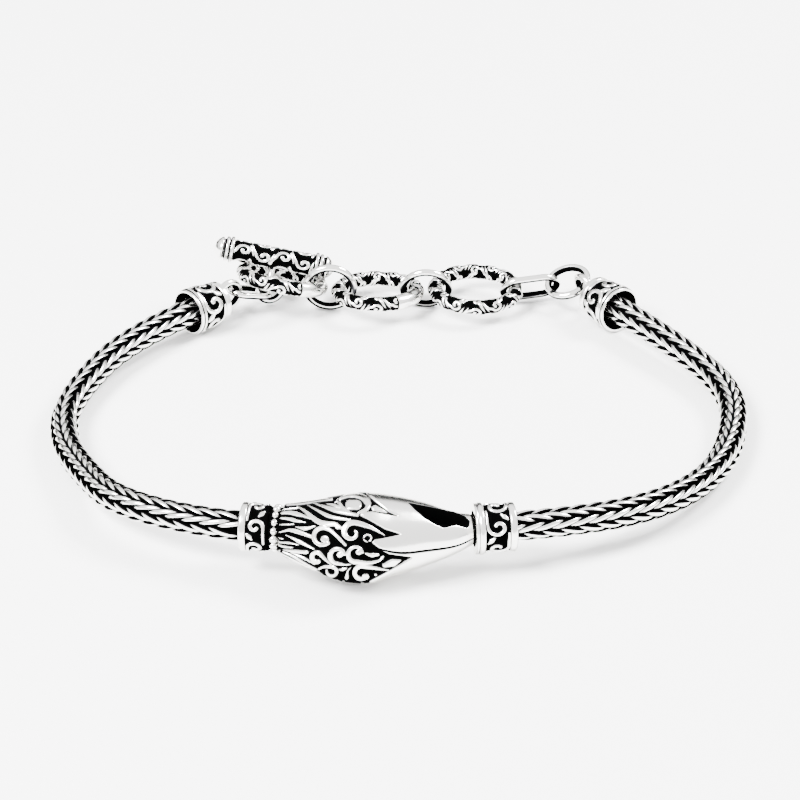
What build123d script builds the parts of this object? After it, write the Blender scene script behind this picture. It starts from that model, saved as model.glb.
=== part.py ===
from build123d import *

import math
import os

# Eagle head bracelet, cast and woven silver, lying closed on a flat surface.
# All lengths are in millimetres and all angles in degrees.
# +X runs along the bracelet to the right, -Y is the front with the head, +Z is up.

# Clearances
SLIDE_GAP = 0.10
LINK_GAP = 0.19
BAR_GAP = 0.12

# Chain
CHAIN_DIAMETER = 3.0
CHAIN_END_GAP = 0.3
CHAIN_BORE_GAP = 0.25

# Eagle head: its middle line follows the bend of the wrist
HEAD_LENGTH = 18.3
HEAD_WIDTH = 8.7
HEAD_CROWN = 6.0
HEAD_BACK = 3.45
HEAD_BEND_RADIUS = 72.0
HEAD_MIDDLE_X = -2.15
HEAD_MIDDLE_Y = -35.15
RELIEF = 0.28
TENON_DIAMETER = 2.4
TENON_LENGTH = 0.9
COLLAR_LENGTH = 1.1
COLLAR_DIAMETER = 4.1
COLLAR_BEAD = 0.8
COLLAR_BEADS = 16
EYE_DIAMETER = 2.5
EYE_RIM = 0.32
EYE_ALONG = 0.41
EYE_AROUND = 76
BEAK_WEB = 1.0

# Bands beside the head
BAND_LEFT_LENGTH = 2.8
BAND_RIGHT_LENGTH = 4.0
BAND_DIAMETER = 4.8
BAND_GROUND = 0.22
BAND_RIM = 0.7
BAND_LIP = 0.22
BAND_FLANGE = 0.9
BAND_FLANGE_DIAMETER = 5.1
BAND_WALL = 0.7
BAND_SCROLLS = 6

# Caps at the back ends of the chain
CAP_LENGTH = 4.4
CAP_MOUTH_DIAMETER = 5.1
CAP_END_DIAMETER = 4.4
CAP_RIM = 0.7
CAP_GROUND = 0.22
CAP_WALL = 0.55
CAP_FLOOR = 1.1
CAP_SCROLLS = 6
CAP_LOOP_SINK = 0.45

# Toggle bar
BAR_LENGTH = 13.2
BAR_DIAMETER = 2.4
BAR_END_DIAMETER = 2.9
BAR_TIP_LENGTH = 0.9
BAR_RING_WIDTH = 0.42
BAR_RINGS = 3
BAR_GROUND = 0.16
BAR_SIDE_SHIFT = -1.3
BAR_BACK_SHIFT = 0.4
BAR_LOOP_SINK = 0.4
BAR_SCROLLS = 5
BAR_SCROLLS_ROUND = 3

# Ornate rings: curls in two rows, leaning either way from the ring's flat side
RING_RELIEF = 0.13
RING_SCROLLS = 13
RING_PLAIN_SHARE = 0.3
RING_CURL = 1.18
RING_CURL_STROKE = 0.18
RING_LEANS = (35, 145)

# Scrolls: the curl and its tail as shares of the scroll's size, and how far each turns
STROKE = 0.3
SCROLL_CURL = 0.30
SCROLL_TAIL = 0.62
SCROLL_CURL_TURN = 250
SCROLL_TAIL_TURN = 75

# Sections of the head from neck to beak. along is a share of the length, crown and
# offset are shares of HEAD_CROWN, back of HEAD_BACK, width of HEAD_WIDTH.
HEAD_SECTIONS = [
    {"along": 0.00, "crown": 0.50, "back": 0.71, "width": 0.58, "offset": 0.04},
    {"along": 0.17, "crown": 0.77, "back": 0.80, "width": 0.77, "offset": 0.15},
    {"along": 0.30, "crown": 0.95, "back": 0.90, "width": 0.94, "offset": 0.22},
    {"along": 0.43, "crown": 1.00, "back": 1.00, "width": 1.00, "offset": 0.20},
    {"along": 0.58, "crown": 0.82, "back": 1.00, "width": 0.88, "offset": 0.11},
    {"along": 0.75, "crown": 0.62, "back": 0.80, "width": 0.69, "offset": 0.08},
    {"along": 0.91, "crown": 0.44, "back": 0.48, "width": 0.44, "offset": 0.07},
    {"along": 1.00, "crown": 0.26, "back": 0.42, "width": 0.33, "offset": 0.00},
]

# Edge of the smooth face, from the top of the head to its underside.
# along is a share of HEAD_LENGTH, up of half the HEAD_WIDTH.
FACE_EDGE = [
    {"along": 0.46, "up": 1.20},
    {"along": 0.62, "up": 0.76},
    {"along": 0.41, "up": 0.80},
    {"along": 0.63, "up": 0.40},
    {"along": 0.45, "up": 0.08},
    {"along": 0.67, "up": -0.26},
    {"along": 0.49, "up": -0.62},
    {"along": 0.62, "up": -0.80},
    {"along": 0.44, "up": -1.20},
]

# Open beak seen from above: along is a share of HEAD_LENGTH, out of HEAD_CROWN.
BEAK_OPENING = [
    {"along": 0.66, "out": 0.24},
    {"along": 0.74, "out": 0.43},
    {"along": 0.84, "out": 0.47},
    {"along": 0.94, "out": 0.33},
    {"along": 0.965, "out": 0.22},
    {"along": 0.95, "out": 0.12},
]

# Scrolls on the back of the head: along is a share of HEAD_LENGTH, around is the
# angle above the outward direction, size is a share of HEAD_WIDTH.
HEAD_SCROLLS = [
    {"along": 0.45, "around": 33, "size": 0.30, "turn": 200, "flip": False},
    {"along": 0.34, "around": 17, "size": 0.30, "turn": 150, "flip": True},
    {"along": 0.40, "around": -4, "size": 0.27, "turn": 210, "flip": False},
    {"along": 0.49, "around": -3, "size": 0.30, "turn": 200, "flip": False},
    {"along": 0.31, "around": -27, "size": 0.24, "turn": 170, "flip": True},
    {"along": 0.39, "around": -50, "size": 0.24, "turn": 190, "flip": False},
    {"along": 0.51, "around": -37, "size": 0.29, "turn": 200, "flip": False},
]

# Feather strands between the collar and the scrolls: start and end are shares of
# HEAD_LENGTH, around is the angle above the outward direction.
FEATHERS = [
    {"start": 0.06, "end": 0.34, "around": 62},
    {"start": 0.05, "end": 0.36, "around": 46},
    {"start": 0.05, "end": 0.27, "around": 31},
    {"start": 0.04, "end": 0.22, "around": 15},
    {"start": 0.04, "end": 0.28, "around": -1},
    {"start": 0.04, "end": 0.24, "around": -16},
    {"start": 0.05, "end": 0.23, "around": -33},
    {"start": 0.05, "end": 0.30, "around": -50},
    {"start": 0.06, "end": 0.34, "around": -66},
]

# Links of the clasp from left to right. heading is the way a link points in plan,
# slope is how far it falls to the right, twist turns it about its own length, enters
# and leaves are where on a round link its neighbours hook in, and raised is the height
# of its relief.
LINKS = {
    "left_loop": {"length": 3.5, "width": 3.5, "wire": 0.75,
                  "heading": 42, "slope": 0, "twist": 90, "enters": 0, "leaves": 5},
    "link_left": {"length": 5.4, "width": 3.2, "wire": 0.7,
                  "heading": 35, "slope": 18, "twist": 0, "enters": 0, "leaves": 0},
    "ring_left": {"length": 3.5, "width": 3.5, "wire": 0.7,
                  "heading": 22, "slope": 0, "twist": 90, "enters": 20, "leaves": 0},
    "bar_loop": {"length": 2.8, "width": 2.8, "wire": 0.65,
                 "heading": 0, "slope": 90, "twist": 0, "enters": 0, "leaves": 0},
    "toggle_ring_1": {"length": 9.9, "width": 9.9, "wire": 1.4, "raised": RING_RELIEF,
                      "heading": 0, "slope": 11, "twist": -15, "enters": 0, "leaves": -14},
    "jump_ring_1": {"length": 5.9, "width": 5.9, "wire": 0.8,
                    "heading": 0, "slope": 0, "twist": 100, "enters": 0, "leaves": -24},
    "toggle_ring_2": {"length": 9.9, "width": 9.9, "wire": 1.4, "raised": RING_RELIEF,
                      "heading": 0, "slope": 0, "twist": -7, "enters": 6, "leaves": 2},
    "jump_ring_2": {"length": 5.7, "width": 5.7, "wire": 0.75,
                    "heading": 0, "slope": 0, "twist": 111, "enters": 16, "leaves": -16},
    "toggle_ring_3": {"length": 10.2, "width": 10.2, "wire": 1.4, "raised": RING_RELIEF,
                      "heading": 0, "slope": 1, "twist": 0, "enters": 6, "leaves": 3},
    "link_right": {"length": 6.7, "width": 4.1, "wire": 0.75,
                   "heading": 3, "slope": -7, "twist": -58, "enters": 0, "leaves": 0},
    "ring_right": {"length": 5.2, "width": 5.2, "wire": 0.8,
                   "heading": -4, "slope": -15, "twist": 17, "enters": 0, "leaves": -28},
    "right_loop": {"length": 3.7, "width": 3.7, "wire": 0.75,
                   "heading": -54, "slope": 0, "twist": 112, "enters": 0, "leaves": 0},
}
CLASP_X = -7.6
CLASP_Y = 20.5
HINGED_TO_RIGHT = ["jump_ring_1", "toggle_ring_2", "jump_ring_2", "toggle_ring_3",
                   "link_right", "ring_right", "right_loop"]
HUNG_TO_LEFT = ["ring_left", "link_left", "left_loop"]

# Bends of the chain between the bands and the caps, chosen by eye.
LEFT_ROUTE = [(-27.9, -27.6, 3.5), (-31.5, -19.3, 2.1), (-34.2, -12.0, 1.5),
              (-34.4, -3.0, 1.6)]
RIGHT_ROUTE = [(24.0, -29.1, 3.4), (30.2, -21.6, 2.1), (33.8, -12.3, 1.5),
               (34.6, -0.8, 1.6)]
ROUTE_LEAD = 4.0
CAP_LEAD = 7.8


def turned(vector, heading):
    """A vector turned in plan."""
    return vector.rotate(Axis.Z, heading)


# Head frame


def head_place(along):
    """Point and heading on the head's bent middle line, along from its left end."""
    span = along - HEAD_LENGTH / 2
    heading = math.degrees(span / HEAD_BEND_RADIUS)
    centre = Vector(HEAD_MIDDLE_X, HEAD_MIDDLE_Y + HEAD_BEND_RADIUS, HEAD_WIDTH / 2)
    return centre + turned(Vector(0, -HEAD_BEND_RADIUS, 0), heading), heading


def head_plane(along):
    """Plane across the head: its x runs to the wrist and its y runs up."""
    point, heading = head_place(along)
    return Plane(point, x_dir=turned(Vector(0, 1, 0), heading),
                 z_dir=turned(Vector(1, 0, 0), heading))


def head_section(row, inset):
    """Outline across the head, of a crown half and a wrist half."""
    crown = row["crown"] * HEAD_CROWN - inset
    back = row["back"] * HEAD_BACK - inset
    half = row["width"] * HEAD_WIDTH / 2 - inset
    offset = row["offset"] * HEAD_CROWN
    outer = EllipticalCenterArc((-offset, 0), crown - offset, half, 90, arc_size=180)
    inner = EllipticalCenterArc((-offset, 0), back + offset, half, -90, arc_size=180)
    return make_face([outer, inner])


def head_body(inset):
    faces = []
    for row in HEAD_SECTIONS:
        faces.append(head_plane(row["along"] * HEAD_LENGTH) * head_section(row, inset))
    return loft(faces)


def offset_at(share):
    """Offset of the widest line from the middle line, between two sections."""
    before = [row for row in HEAD_SECTIONS if row["along"] <= share][-1]
    after = [row for row in HEAD_SECTIONS if row["along"] >= share][0]
    span = after["along"] - before["along"]
    part = (share - before["along"]) / span if span else 0
    return (before["offset"] + part * (after["offset"] - before["offset"])) * HEAD_CROWN


def side_plane(share, around):
    """Plane facing out of the head's side, with its x along the head."""
    section = head_plane(share * HEAD_LENGTH)
    centre = section.origin - section.x_dir * offset_at(share)
    out = section.x_dir * -math.cos(math.radians(around))
    up = section.y_dir * math.sin(math.radians(around))
    return Plane(centre, x_dir=section.z_dir, z_dir=out + up)


# Ornament


def scroll(size, stroke, flip):
    """A curl with a round eye and a longer tail, as one flat sketch."""
    way = -1 if flip else 1
    curl = SCROLL_CURL * size
    tail = SCROLL_TAIL * size
    turn = way * SCROLL_CURL_TURN
    end = Vector(curl, 0).rotate(Axis.Z, turn)
    tail_centre = end - Vector(tail, 0).rotate(Axis.Z, turn)
    mark = SlotArc(CenterArc((0, 0), curl, 0, turn), stroke)
    mark += SlotArc(CenterArc(tail_centre, tail, turn, way * SCROLL_TAIL_TURN), stroke)
    mark += Pos(curl - stroke / 2, 0) * Circle(0.75 * stroke)
    return mark


def raised_on(skin, marks, start, reach):
    """The part of a skin that lies under flat marks, which look outward from an axis."""
    pieces = []
    for plane, mark in marks:
        stamp = extrude(plane.offset(start) * mark, reach - start)
        pieces.append(skin & stamp)
    return pieces


def round_marks(count, place, size, stroke):
    """Scrolls round an axis along X, alternately one way and the other."""
    marks = []
    for index in range(count):
        angle = 360 * index / count
        out = Vector(0, math.cos(math.radians(angle)), math.sin(math.radians(angle)))
        plane = Plane((place, 0, 0), x_dir=(1, 0, 0), z_dir=out)
        mark = Rot(0, 0, 180 * (index % 2)) * scroll(size, stroke, False)
        marks.append((plane, mark))
    return marks


def drum(radius, start, end):
    """Round bar along X between two stations."""
    disc = Plane((start, 0, 0), x_dir=(0, 1, 0), z_dir=(1, 0, 0)) * Circle(radius)
    return extrude(disc, end - start)


def cone(start_radius, end_radius, start, end):
    """Tapering round bar along X between two stations."""
    first = Plane((start, 0, 0), x_dir=(0, 1, 0), z_dir=(1, 0, 0)) * Circle(start_radius)
    last = Plane((end, 0, 0), x_dir=(0, 1, 0), z_dir=(1, 0, 0)) * Circle(end_radius)
    return loft([first, last])


# Head


def eagle_head():
    core = head_body(RELIEF)
    skin = head_body(0)
    reach = HEAD_CROWN + HEAD_WIDTH

    face_corners = [(row["along"] * HEAD_LENGTH, row["up"] * HEAD_WIDTH / 2)
                    for row in FACE_EDGE]
    face_corners += [(1.2 * HEAD_LENGTH, -HEAD_WIDTH), (1.2 * HEAD_LENGTH, HEAD_WIDTH)]
    left_end, _ = head_place(0)
    front = Plane((left_end.X, HEAD_MIDDLE_Y, HEAD_WIDTH / 2), x_dir=(1, 0, 0),
                  z_dir=(0, -1, 0))
    face = extrude(front * make_face(Polyline(*face_corners, close=True)), reach,
                   both=True)
    pieces = [skin & face]

    marks = []
    for row in HEAD_SCROLLS:
        curl = scroll(row["size"] * HEAD_WIDTH, STROKE, row["flip"])
        mark = Rot(0, 0, row["turn"]) * curl
        marks.append((side_plane(row["along"], row["around"]), mark))
    for row in FEATHERS:
        length = (row["end"] - row["start"]) * HEAD_LENGTH
        middle = (row["start"] + row["end"]) / 2
        strand = SlotOverall(length, STROKE) + Pos(0, STROKE) * SlotOverall(
            0.7 * length, 0.6 * STROKE)
        marks.append((side_plane(middle, row["around"]), strand))
    for side in (1, -1):
        eye_plane = side_plane(EYE_ALONG, side * EYE_AROUND)
        eye = Circle(EYE_DIAMETER / 2) - Circle(EYE_DIAMETER / 2 - EYE_RIM)
        marks.append((eye_plane, eye + Circle(EYE_DIAMETER / 2 - 2 * EYE_RIM)))
    pieces += raised_on(skin, marks, RELIEF, reach)

    neck = head_plane(-COLLAR_LENGTH)
    pieces.append(extrude(neck * Circle(COLLAR_DIAMETER / 2), 2 * COLLAR_LENGTH))
    for index in range(COLLAR_BEADS):
        bead = Pos(COLLAR_DIAMETER / 2, 0, COLLAR_LENGTH / 2) * Sphere(COLLAR_BEAD / 2)
        pieces.append(neck * Rot(0, 0, 360 * index / COLLAR_BEADS) * bead)
    body = core.fuse(*[solid for piece in pieces for solid in piece.solids()])

    for side in (1, -1):
        top = Plane((left_end.X, HEAD_MIDDLE_Y, HEAD_WIDTH / 2), x_dir=(1, 0, 0),
                    z_dir=(0, 0, side))
        corners = []
        for row in BEAK_OPENING:
            corners.append((row["along"] * HEAD_LENGTH, -side * row["out"] * HEAD_CROWN))
        mouth = make_face(Polyline(*corners, close=True))
        body -= extrude(top.offset(BEAK_WEB / 2) * mouth, HEAD_WIDTH)

    for along, way in ((-COLLAR_LENGTH, -1), (HEAD_LENGTH, 1)):
        plane = head_plane(along)
        root = Plane(plane.origin - plane.z_dir * way * TENON_LENGTH, x_dir=plane.x_dir,
                     z_dir=plane.z_dir * way)
        body += extrude(root * Circle(TENON_DIAMETER / 2), 2 * TENON_LENGTH)
    return body


# Bands


def band(length, flange, flange_diameter):
    """Sleeve along X with its head side at 0 and the chain's bore at the other end."""
    radius = BAND_DIAMETER / 2
    ground = radius - BAND_GROUND
    body = drum(ground, 0, length)
    body += drum(flange_diameter / 2, 0, flange)
    body += drum(radius, length - BAND_RIM, length)
    zone = length - BAND_RIM - flange
    skin = drum(radius - BAND_GROUND / 3, flange, length - BAND_RIM)
    marks = round_marks(BAND_SCROLLS, flange + zone / 2, 0.9 * zone, STROKE)
    pieces = raised_on(skin, marks, ground - BAND_GROUND, 2 * radius)
    body = body.fuse(*[solid for piece in pieces for solid in piece.solids()])
    body -= drum(CHAIN_DIAMETER / 2 + CHAIN_BORE_GAP, band_floor(), length)
    body -= drum(TENON_DIAMETER / 2 + SLIDE_GAP, 0, band_floor())
    return body


def band_floor():
    """How deep in a band the chain's bore starts, past the head's tenon."""
    return TENON_LENGTH + SLIDE_GAP + BAND_WALL / 2


# Caps


def cap():
    """Bell along X: mouth at 0, closed end at the far side."""
    mouth = CAP_MOUTH_DIAMETER / 2
    end = CAP_END_DIAMETER / 2
    body = cone(mouth - CAP_GROUND, end - CAP_GROUND, 0, CAP_LENGTH)
    body += drum(mouth, 0, CAP_RIM)
    body += drum(end, CAP_LENGTH - CAP_RIM, CAP_LENGTH)
    zone = CAP_LENGTH - 2 * CAP_RIM
    slope = (end - mouth) / CAP_LENGTH
    skin = cone(mouth + slope * CAP_RIM, end - slope * CAP_RIM, CAP_RIM,
                CAP_LENGTH - CAP_RIM)
    marks = round_marks(CAP_SCROLLS, CAP_LENGTH / 2, zone, STROKE)
    pieces = raised_on(skin, marks, end - 2 * CAP_GROUND, 2 * mouth)
    body = body.fuse(*[solid for piece in pieces for solid in piece.solids()])
    body -= cone(mouth - CAP_GROUND - CAP_WALL, CHAIN_DIAMETER / 2 + CHAIN_BORE_GAP, 0,
                 CAP_LENGTH - CAP_FLOOR)
    return body


# Links


def wire_link(row):
    """Round or oval link lying flat at the origin, long way along X."""
    radius = row["wire"] / 2
    bend = (row["width"] - row["wire"]) / 2
    straight = row["length"] - row["width"]
    if straight <= 0:
        return Torus(bend, radius)
    half = revolve(Plane.YZ * Pos(-bend, 0) * Circle(radius), Axis.Z, 180)
    right = Pos(straight / 2, 0, 0) * half
    body = right + Rot(0, 0, 180) * right
    for side in (1, -1):
        body += Pos(-straight / 2, side * bend, 0) * drum(radius, 0, straight)
    return body


def link_turn(row):
    return Rot(0, 0, row["heading"]) * Rot(row["twist"], 0, 0) * Rot(0, row["slope"], 0)


def link_arm(row, angle):
    """Way from a link's centre to where a neighbour hooks in, as a unit vector."""
    place = link_turn(row) * Pos(math.cos(math.radians(angle)),
                                 math.sin(math.radians(angle)), 0)
    return place.position


def link_reach(row):
    return (row["length"] - row["wire"]) / 2


def link_skin(row):
    """How far a link reaches round its wire's middle, with its relief."""
    return row["wire"] / 2 + row.get("raised", 0)


def next_centre(centre, row, following, way):
    """Centre of the neighbour hooked into a link, to the right (1) or left (-1)."""
    if way > 0:
        arm = link_arm(row, row["leaves"])
        next_arm = link_arm(following, following["enters"])
    else:
        arm = link_arm(row, row["enters"]) * -1
        next_arm = link_arm(following, following["leaves"]) * -1
    overlap = link_skin(row) + link_skin(following) + LINK_GAP
    middle = (arm + next_arm).normalized()
    end = centre + arm * link_reach(row)
    return end - middle * overlap + next_arm * link_reach(following)


def clasp_centres():
    """Centres of all links, each hooked into the one before it."""
    first = LINKS["jump_ring_1"]
    centres = {"jump_ring_1": Vector(CLASP_X, CLASP_Y, first["width"] / 2)}
    for name, following in zip(HINGED_TO_RIGHT, HINGED_TO_RIGHT[1:]):
        centres[following] = next_centre(centres[name], LINKS[name], LINKS[following], 1)
    toggle = LINKS["toggle_ring_1"]
    centres["toggle_ring_1"] = next_centre(centres["jump_ring_1"], first, toggle, -1)
    bar_loop = bar_place(centres["toggle_ring_1"]) * Pos(0, 0, -bar_loop_drop())
    centres["bar_loop"] = bar_loop.position
    hung = LINKS["ring_left"]
    centres["ring_left"] = centres["bar_loop"] - Vector(0, 0, link_reach(hung))
    for name, following in zip(HUNG_TO_LEFT, HUNG_TO_LEFT[1:]):
        centres[following] = next_centre(centres[name], LINKS[name], LINKS[following], -1)
    return centres


def bar_place(ring_centre):
    """Frame of the toggle bar, lying across its ring."""
    row = LINKS["toggle_ring_1"]
    lift = link_skin(row) + BAR_DIAMETER / 2 + BAR_GAP
    return Pos(*ring_centre) * link_turn(row) * Pos(BAR_SIDE_SHIFT, BAR_BACK_SHIFT, lift)


def bar_loop_drop():
    return BAR_DIAMETER / 2 + LINKS["bar_loop"]["length"] / 2 - BAR_LOOP_SINK


def ornate_ring(row):
    """Round link with raised scrolls on all of it but one plain stretch."""
    radius = row["wire"] / 2
    bend = (row["width"] - row["wire"]) / 2
    skin = Torus(bend, link_skin(row))
    curl = Circle(RING_CURL / 2) - Circle(RING_CURL / 2 - RING_CURL_STROKE)
    curl += Circle(RING_CURL_STROKE / 2)
    pieces = []
    for index in range(RING_SCROLLS):
        share = (1 - RING_PLAIN_SHARE) * index / (RING_SCROLLS - 1)
        angle = 360 * (RING_PLAIN_SHARE / 2 + share)
        for lean in RING_LEANS:
            spot = Rot(0, 0, angle - 90) * Pos(bend, 0, 0) * Rot(0, 90 - lean, 0)
            stamp = extrude(Plane(spot).offset(radius / 3) * curl, row["wire"])
            pieces += (skin & stamp).solids()
    return Torus(bend, radius).fuse(*pieces)


# Toggle bar


def toggle_bar():
    """Bar along X with stepped ends, and its loop below the middle."""
    radius = BAR_DIAMETER / 2
    ground = radius - BAR_GROUND
    end_radius = BAR_END_DIAMETER / 2
    barrel = BAR_LENGTH / 2 - BAR_TIP_LENGTH - BAR_RINGS * BAR_RING_WIDTH
    body = drum(ground, -barrel, barrel)
    for side in (1, -1):
        for index in range(BAR_RINGS):
            station = side * (barrel + (index + 0.5) * BAR_RING_WIDTH)
            swell = end_radius - index * BAR_RING_WIDTH / 2
            low, high = station - BAR_RING_WIDTH / 2, station + BAR_RING_WIDTH / 2
            body += drum(swell - BAR_GROUND / 2, low, high)
            body += drum(swell, low + BAR_RING_WIDTH / 5, high - BAR_RING_WIDTH / 5)
        tip_radius = end_radius - BAR_RINGS * BAR_RING_WIDTH / 2
        tip_start = side * (BAR_LENGTH / 2 - BAR_TIP_LENGTH)
        tip_end = side * BAR_LENGTH / 2
        body += cone(tip_radius, tip_radius / 3, tip_start, tip_end)
    skin = drum(radius, -barrel, barrel)
    pitch = 2 * barrel / BAR_SCROLLS
    pieces = []
    for index in range(BAR_SCROLLS):
        place = -barrel + (index + 0.5) * pitch
        marks = round_marks(BAR_SCROLLS_ROUND, place, 0.8 * pitch, STROKE)
        turn = Rot(180 / BAR_SCROLLS_ROUND * (index % 2), 0, 0)
        for piece in raised_on(skin, marks, ground / 2, BAR_DIAMETER):
            pieces += [turn * solid for solid in piece.solids()]
    row = LINKS["bar_loop"]
    pieces.append(Pos(0, 0, -bar_loop_drop()) * Rot(0, 90, 0) * wire_link(row))
    return body.fuse(*pieces)


# Places of the bands and caps, and the chain between them


def band_place(side):
    """Frame of a band with its x running from the head to the chain."""
    along = HEAD_LENGTH + SLIDE_GAP if side > 0 else -COLLAR_LENGTH - SLIDE_GAP
    point, heading = head_place(along)
    return Pos(*point) * Rot(0, 0, heading if side > 0 else heading + 180)


def cap_place(centres, side):
    """Frame of a cap with its x running from its mouth to its loop."""
    row = LINKS["right_loop"] if side > 0 else LINKS["left_loop"]
    loop = centres["right_loop"] if side > 0 else centres["left_loop"]
    heading = row["heading"] + 180 if side > 0 else row["heading"]
    back = CAP_LENGTH + row["length"] / 2 - CAP_LOOP_SINK
    middle = Pos(loop.X, loop.Y, CAP_MOUTH_DIAMETER / 2)
    return middle * Rot(0, 0, heading) * Pos(-back, 0, 0)


def cap_with_loop(centres, side):
    """Cap with its loop soldered on, in place."""
    row = LINKS["right_loop"] if side > 0 else LINKS["left_loop"]
    loop = centres["right_loop"] if side > 0 else centres["left_loop"]
    ring = Pos(*loop) * link_turn(row) * wire_link(row)
    return cap_place(centres, side) * cap() + ring


def chain_points(centres, side):
    """Corners of the chain's line from a band's bore to a cap's hollow."""
    near_band = band_place(side)
    length = BAND_RIGHT_LENGTH if side > 0 else BAND_LEFT_LENGTH
    start = (near_band * Pos(band_floor() + CHAIN_END_GAP, 0, 0)).position
    lead = (near_band * Pos(length + ROUTE_LEAD, 0, 0)).position
    near_cap = cap_place(centres, side)
    end = (near_cap * Pos(CAP_LENGTH - CAP_FLOOR - CHAIN_END_GAP, 0, 0)).position
    trail = (near_cap * Pos(-CAP_LEAD, 0, 0)).position
    route = RIGHT_ROUTE if side > 0 else LEFT_ROUTE
    return [start, lead] + [Vector(*corner) for corner in route] + [trail, end]


def chain_radii(points):
    """Largest bend at each corner that its two runs allow."""
    radii = []
    for before, corner, after in zip(points, points[1:], points[2:]):
        run_in = corner - before
        run_out = after - corner
        turn = math.radians(run_in.get_angle(run_out))
        radii.append(0.45 * min(run_in.length, run_out.length) / math.tan(turn / 2))
    return radii


def chain(name, centres, side):
    points = chain_points(centres, side)
    radii = chain_radii(points)
    path = FilletPolyline(*points, radius=radii)
    first = points[1] - points[0]
    tube = sweep(Plane(points[0], z_dir=first) * Circle(CHAIN_DIAMETER / 2), path)
    due = math.pi * CHAIN_DIAMETER ** 2 / 4 * path.length
    print(name, "length", round(path.length, 1), "radii", [round(r, 1) for r in radii])
    print(name, "volume", round(tube.volume, 2), "section times length", round(due, 2))
    return tube


def build():
    """All pieces by name, in the frame that the sizes are given in."""
    centres = clasp_centres()
    parts = {"eagle_head": eagle_head()}
    parts["band_left"] = band_place(-1) * band(BAND_LEFT_LENGTH, BAND_LIP,
                                               BAND_DIAMETER)
    parts["band_right"] = band_place(1) * band(BAND_RIGHT_LENGTH, BAND_FLANGE,
                                               BAND_FLANGE_DIAMETER)
    parts["chain_left"] = chain("chain_left", centres, -1)
    parts["chain_right"] = chain("chain_right", centres, 1)
    parts["cap_left"] = cap_with_loop(centres, -1)
    parts["cap_right"] = cap_with_loop(centres, 1)
    for name in ("link_left", "ring_left", "jump_ring_1", "jump_ring_2", "link_right",
                 "ring_right"):
        parts[name] = Pos(*centres[name]) * link_turn(LINKS[name]) * wire_link(LINKS[name])
    for name in ("toggle_ring_1", "toggle_ring_2", "toggle_ring_3"):
        parts[name] = Pos(*centres[name]) * link_turn(LINKS[name]) * ornate_ring(LINKS[name])
    parts["toggle_bar"] = bar_place(centres["toggle_ring_1"]) * toggle_bar()
    return parts


def main():
    os.makedirs("parts", exist_ok=True)
    parts = build()
    boxes = [piece.bounding_box() for piece in parts.values()]
    left, right = min(box.min.X for box in boxes), max(box.max.X for box in boxes)
    front, back = min(box.min.Y for box in boxes), max(box.max.Y for box in boxes)
    bottom = min(box.min.Z for box in boxes)
    origin = Vector((left + right) / 2, (front + back) / 2, bottom)
    print("origin taken off", tuple(round(value, 3) for value in origin))
    for name, piece in parts.items():
        export_step(Pos(*(origin * -1)) * piece, f"parts/{name}.step")


main()
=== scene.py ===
# %% [markdown]
# # Eagle head bracelet
# The bracelet is silver throughout: a cast eagle head at the front, two halves of woven
# foxtail chain, and a toggle clasp at the back. The solid model gives the places and
# sizes. This notebook gives each piece its carved relief, its weave and its finish.

# %% Frame
import math

import bpy
import numpy as np
from mathutils import Matrix, Vector


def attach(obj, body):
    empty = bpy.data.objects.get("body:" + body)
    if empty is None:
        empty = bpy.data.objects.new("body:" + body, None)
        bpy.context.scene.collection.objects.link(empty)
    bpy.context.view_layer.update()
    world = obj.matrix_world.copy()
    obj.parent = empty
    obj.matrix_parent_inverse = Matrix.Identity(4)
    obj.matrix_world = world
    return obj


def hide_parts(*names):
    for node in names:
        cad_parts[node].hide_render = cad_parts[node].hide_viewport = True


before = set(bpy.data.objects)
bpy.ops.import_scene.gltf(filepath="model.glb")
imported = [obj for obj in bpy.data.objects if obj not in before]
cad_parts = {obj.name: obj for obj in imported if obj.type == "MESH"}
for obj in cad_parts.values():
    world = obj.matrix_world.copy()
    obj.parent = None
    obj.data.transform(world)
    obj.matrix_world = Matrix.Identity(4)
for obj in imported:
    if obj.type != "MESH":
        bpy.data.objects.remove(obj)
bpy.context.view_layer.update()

MM = 0.001
print("nodes:", sorted(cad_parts))

# %% [markdown]
# ## Measuring the solid model
# Every piece made here sits where its solid sits, so its place is read from the solid's
# own vertices. Lengths below are in millimetres, and the mesh builder turns them into
# metres at the very end.

# %% Places measured on the nodes
END_SLICE = 0.02


def on_node(node):
    """Vertices of a solid in millimetres, one row for each."""
    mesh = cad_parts[node].data
    flat = np.empty(3 * len(mesh.vertices))
    mesh.vertices.foreach_get("co", flat)
    return flat.reshape(-1, 3) / MM


def centre_of(node):
    """Middle of the box round a solid."""
    points = on_node(node)
    return (points.min(0) + points.max(0)) / 2


def end_of(node, way):
    """Middle of the flat end of a solid that faces a direction."""
    points = on_node(node)
    reach = points @ way
    end = points[reach > reach.max() - END_SLICE]
    return (end.min(0) + end.max(0)) / 2


def turned(heading=0, twist=0, slope=0):
    """Axes of a turned piece, as columns: first its slope, then its twist and heading."""
    turn = Matrix.Rotation(math.radians(heading), 3, "Z")
    turn = turn @ Matrix.Rotation(math.radians(twist), 3, "X")
    return np.array(turn @ Matrix.Rotation(math.radians(slope), 3, "Y"))


# The first jump ring stands at this point of the frame that the routes are given in.
CLASP = np.array((-7.6, 20.5, 2.95))
SHIFT = centre_of("jump_ring_1") - CLASP
print("shift of the model into this frame, mm:", SHIFT.round(3))

# %% [markdown]
# ## Camera
# The photograph looks down at the bracelet from the front at about 28 degrees, through
# a long lens. The camera aims at a point of the floor inside the loop. A short lens
# close by would swell the head and shrink the clasp, so this one stays far away.

# %% Camera
ELEVATION = 28
DISTANCE = 420
LENS = 181.4
SENSOR = 36


def add_object(name, data):
    """Puts a mesh, a light or a camera in the scene."""
    item = bpy.data.objects.new(name, data)
    bpy.context.scene.collection.objects.link(item)
    return item


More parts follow.
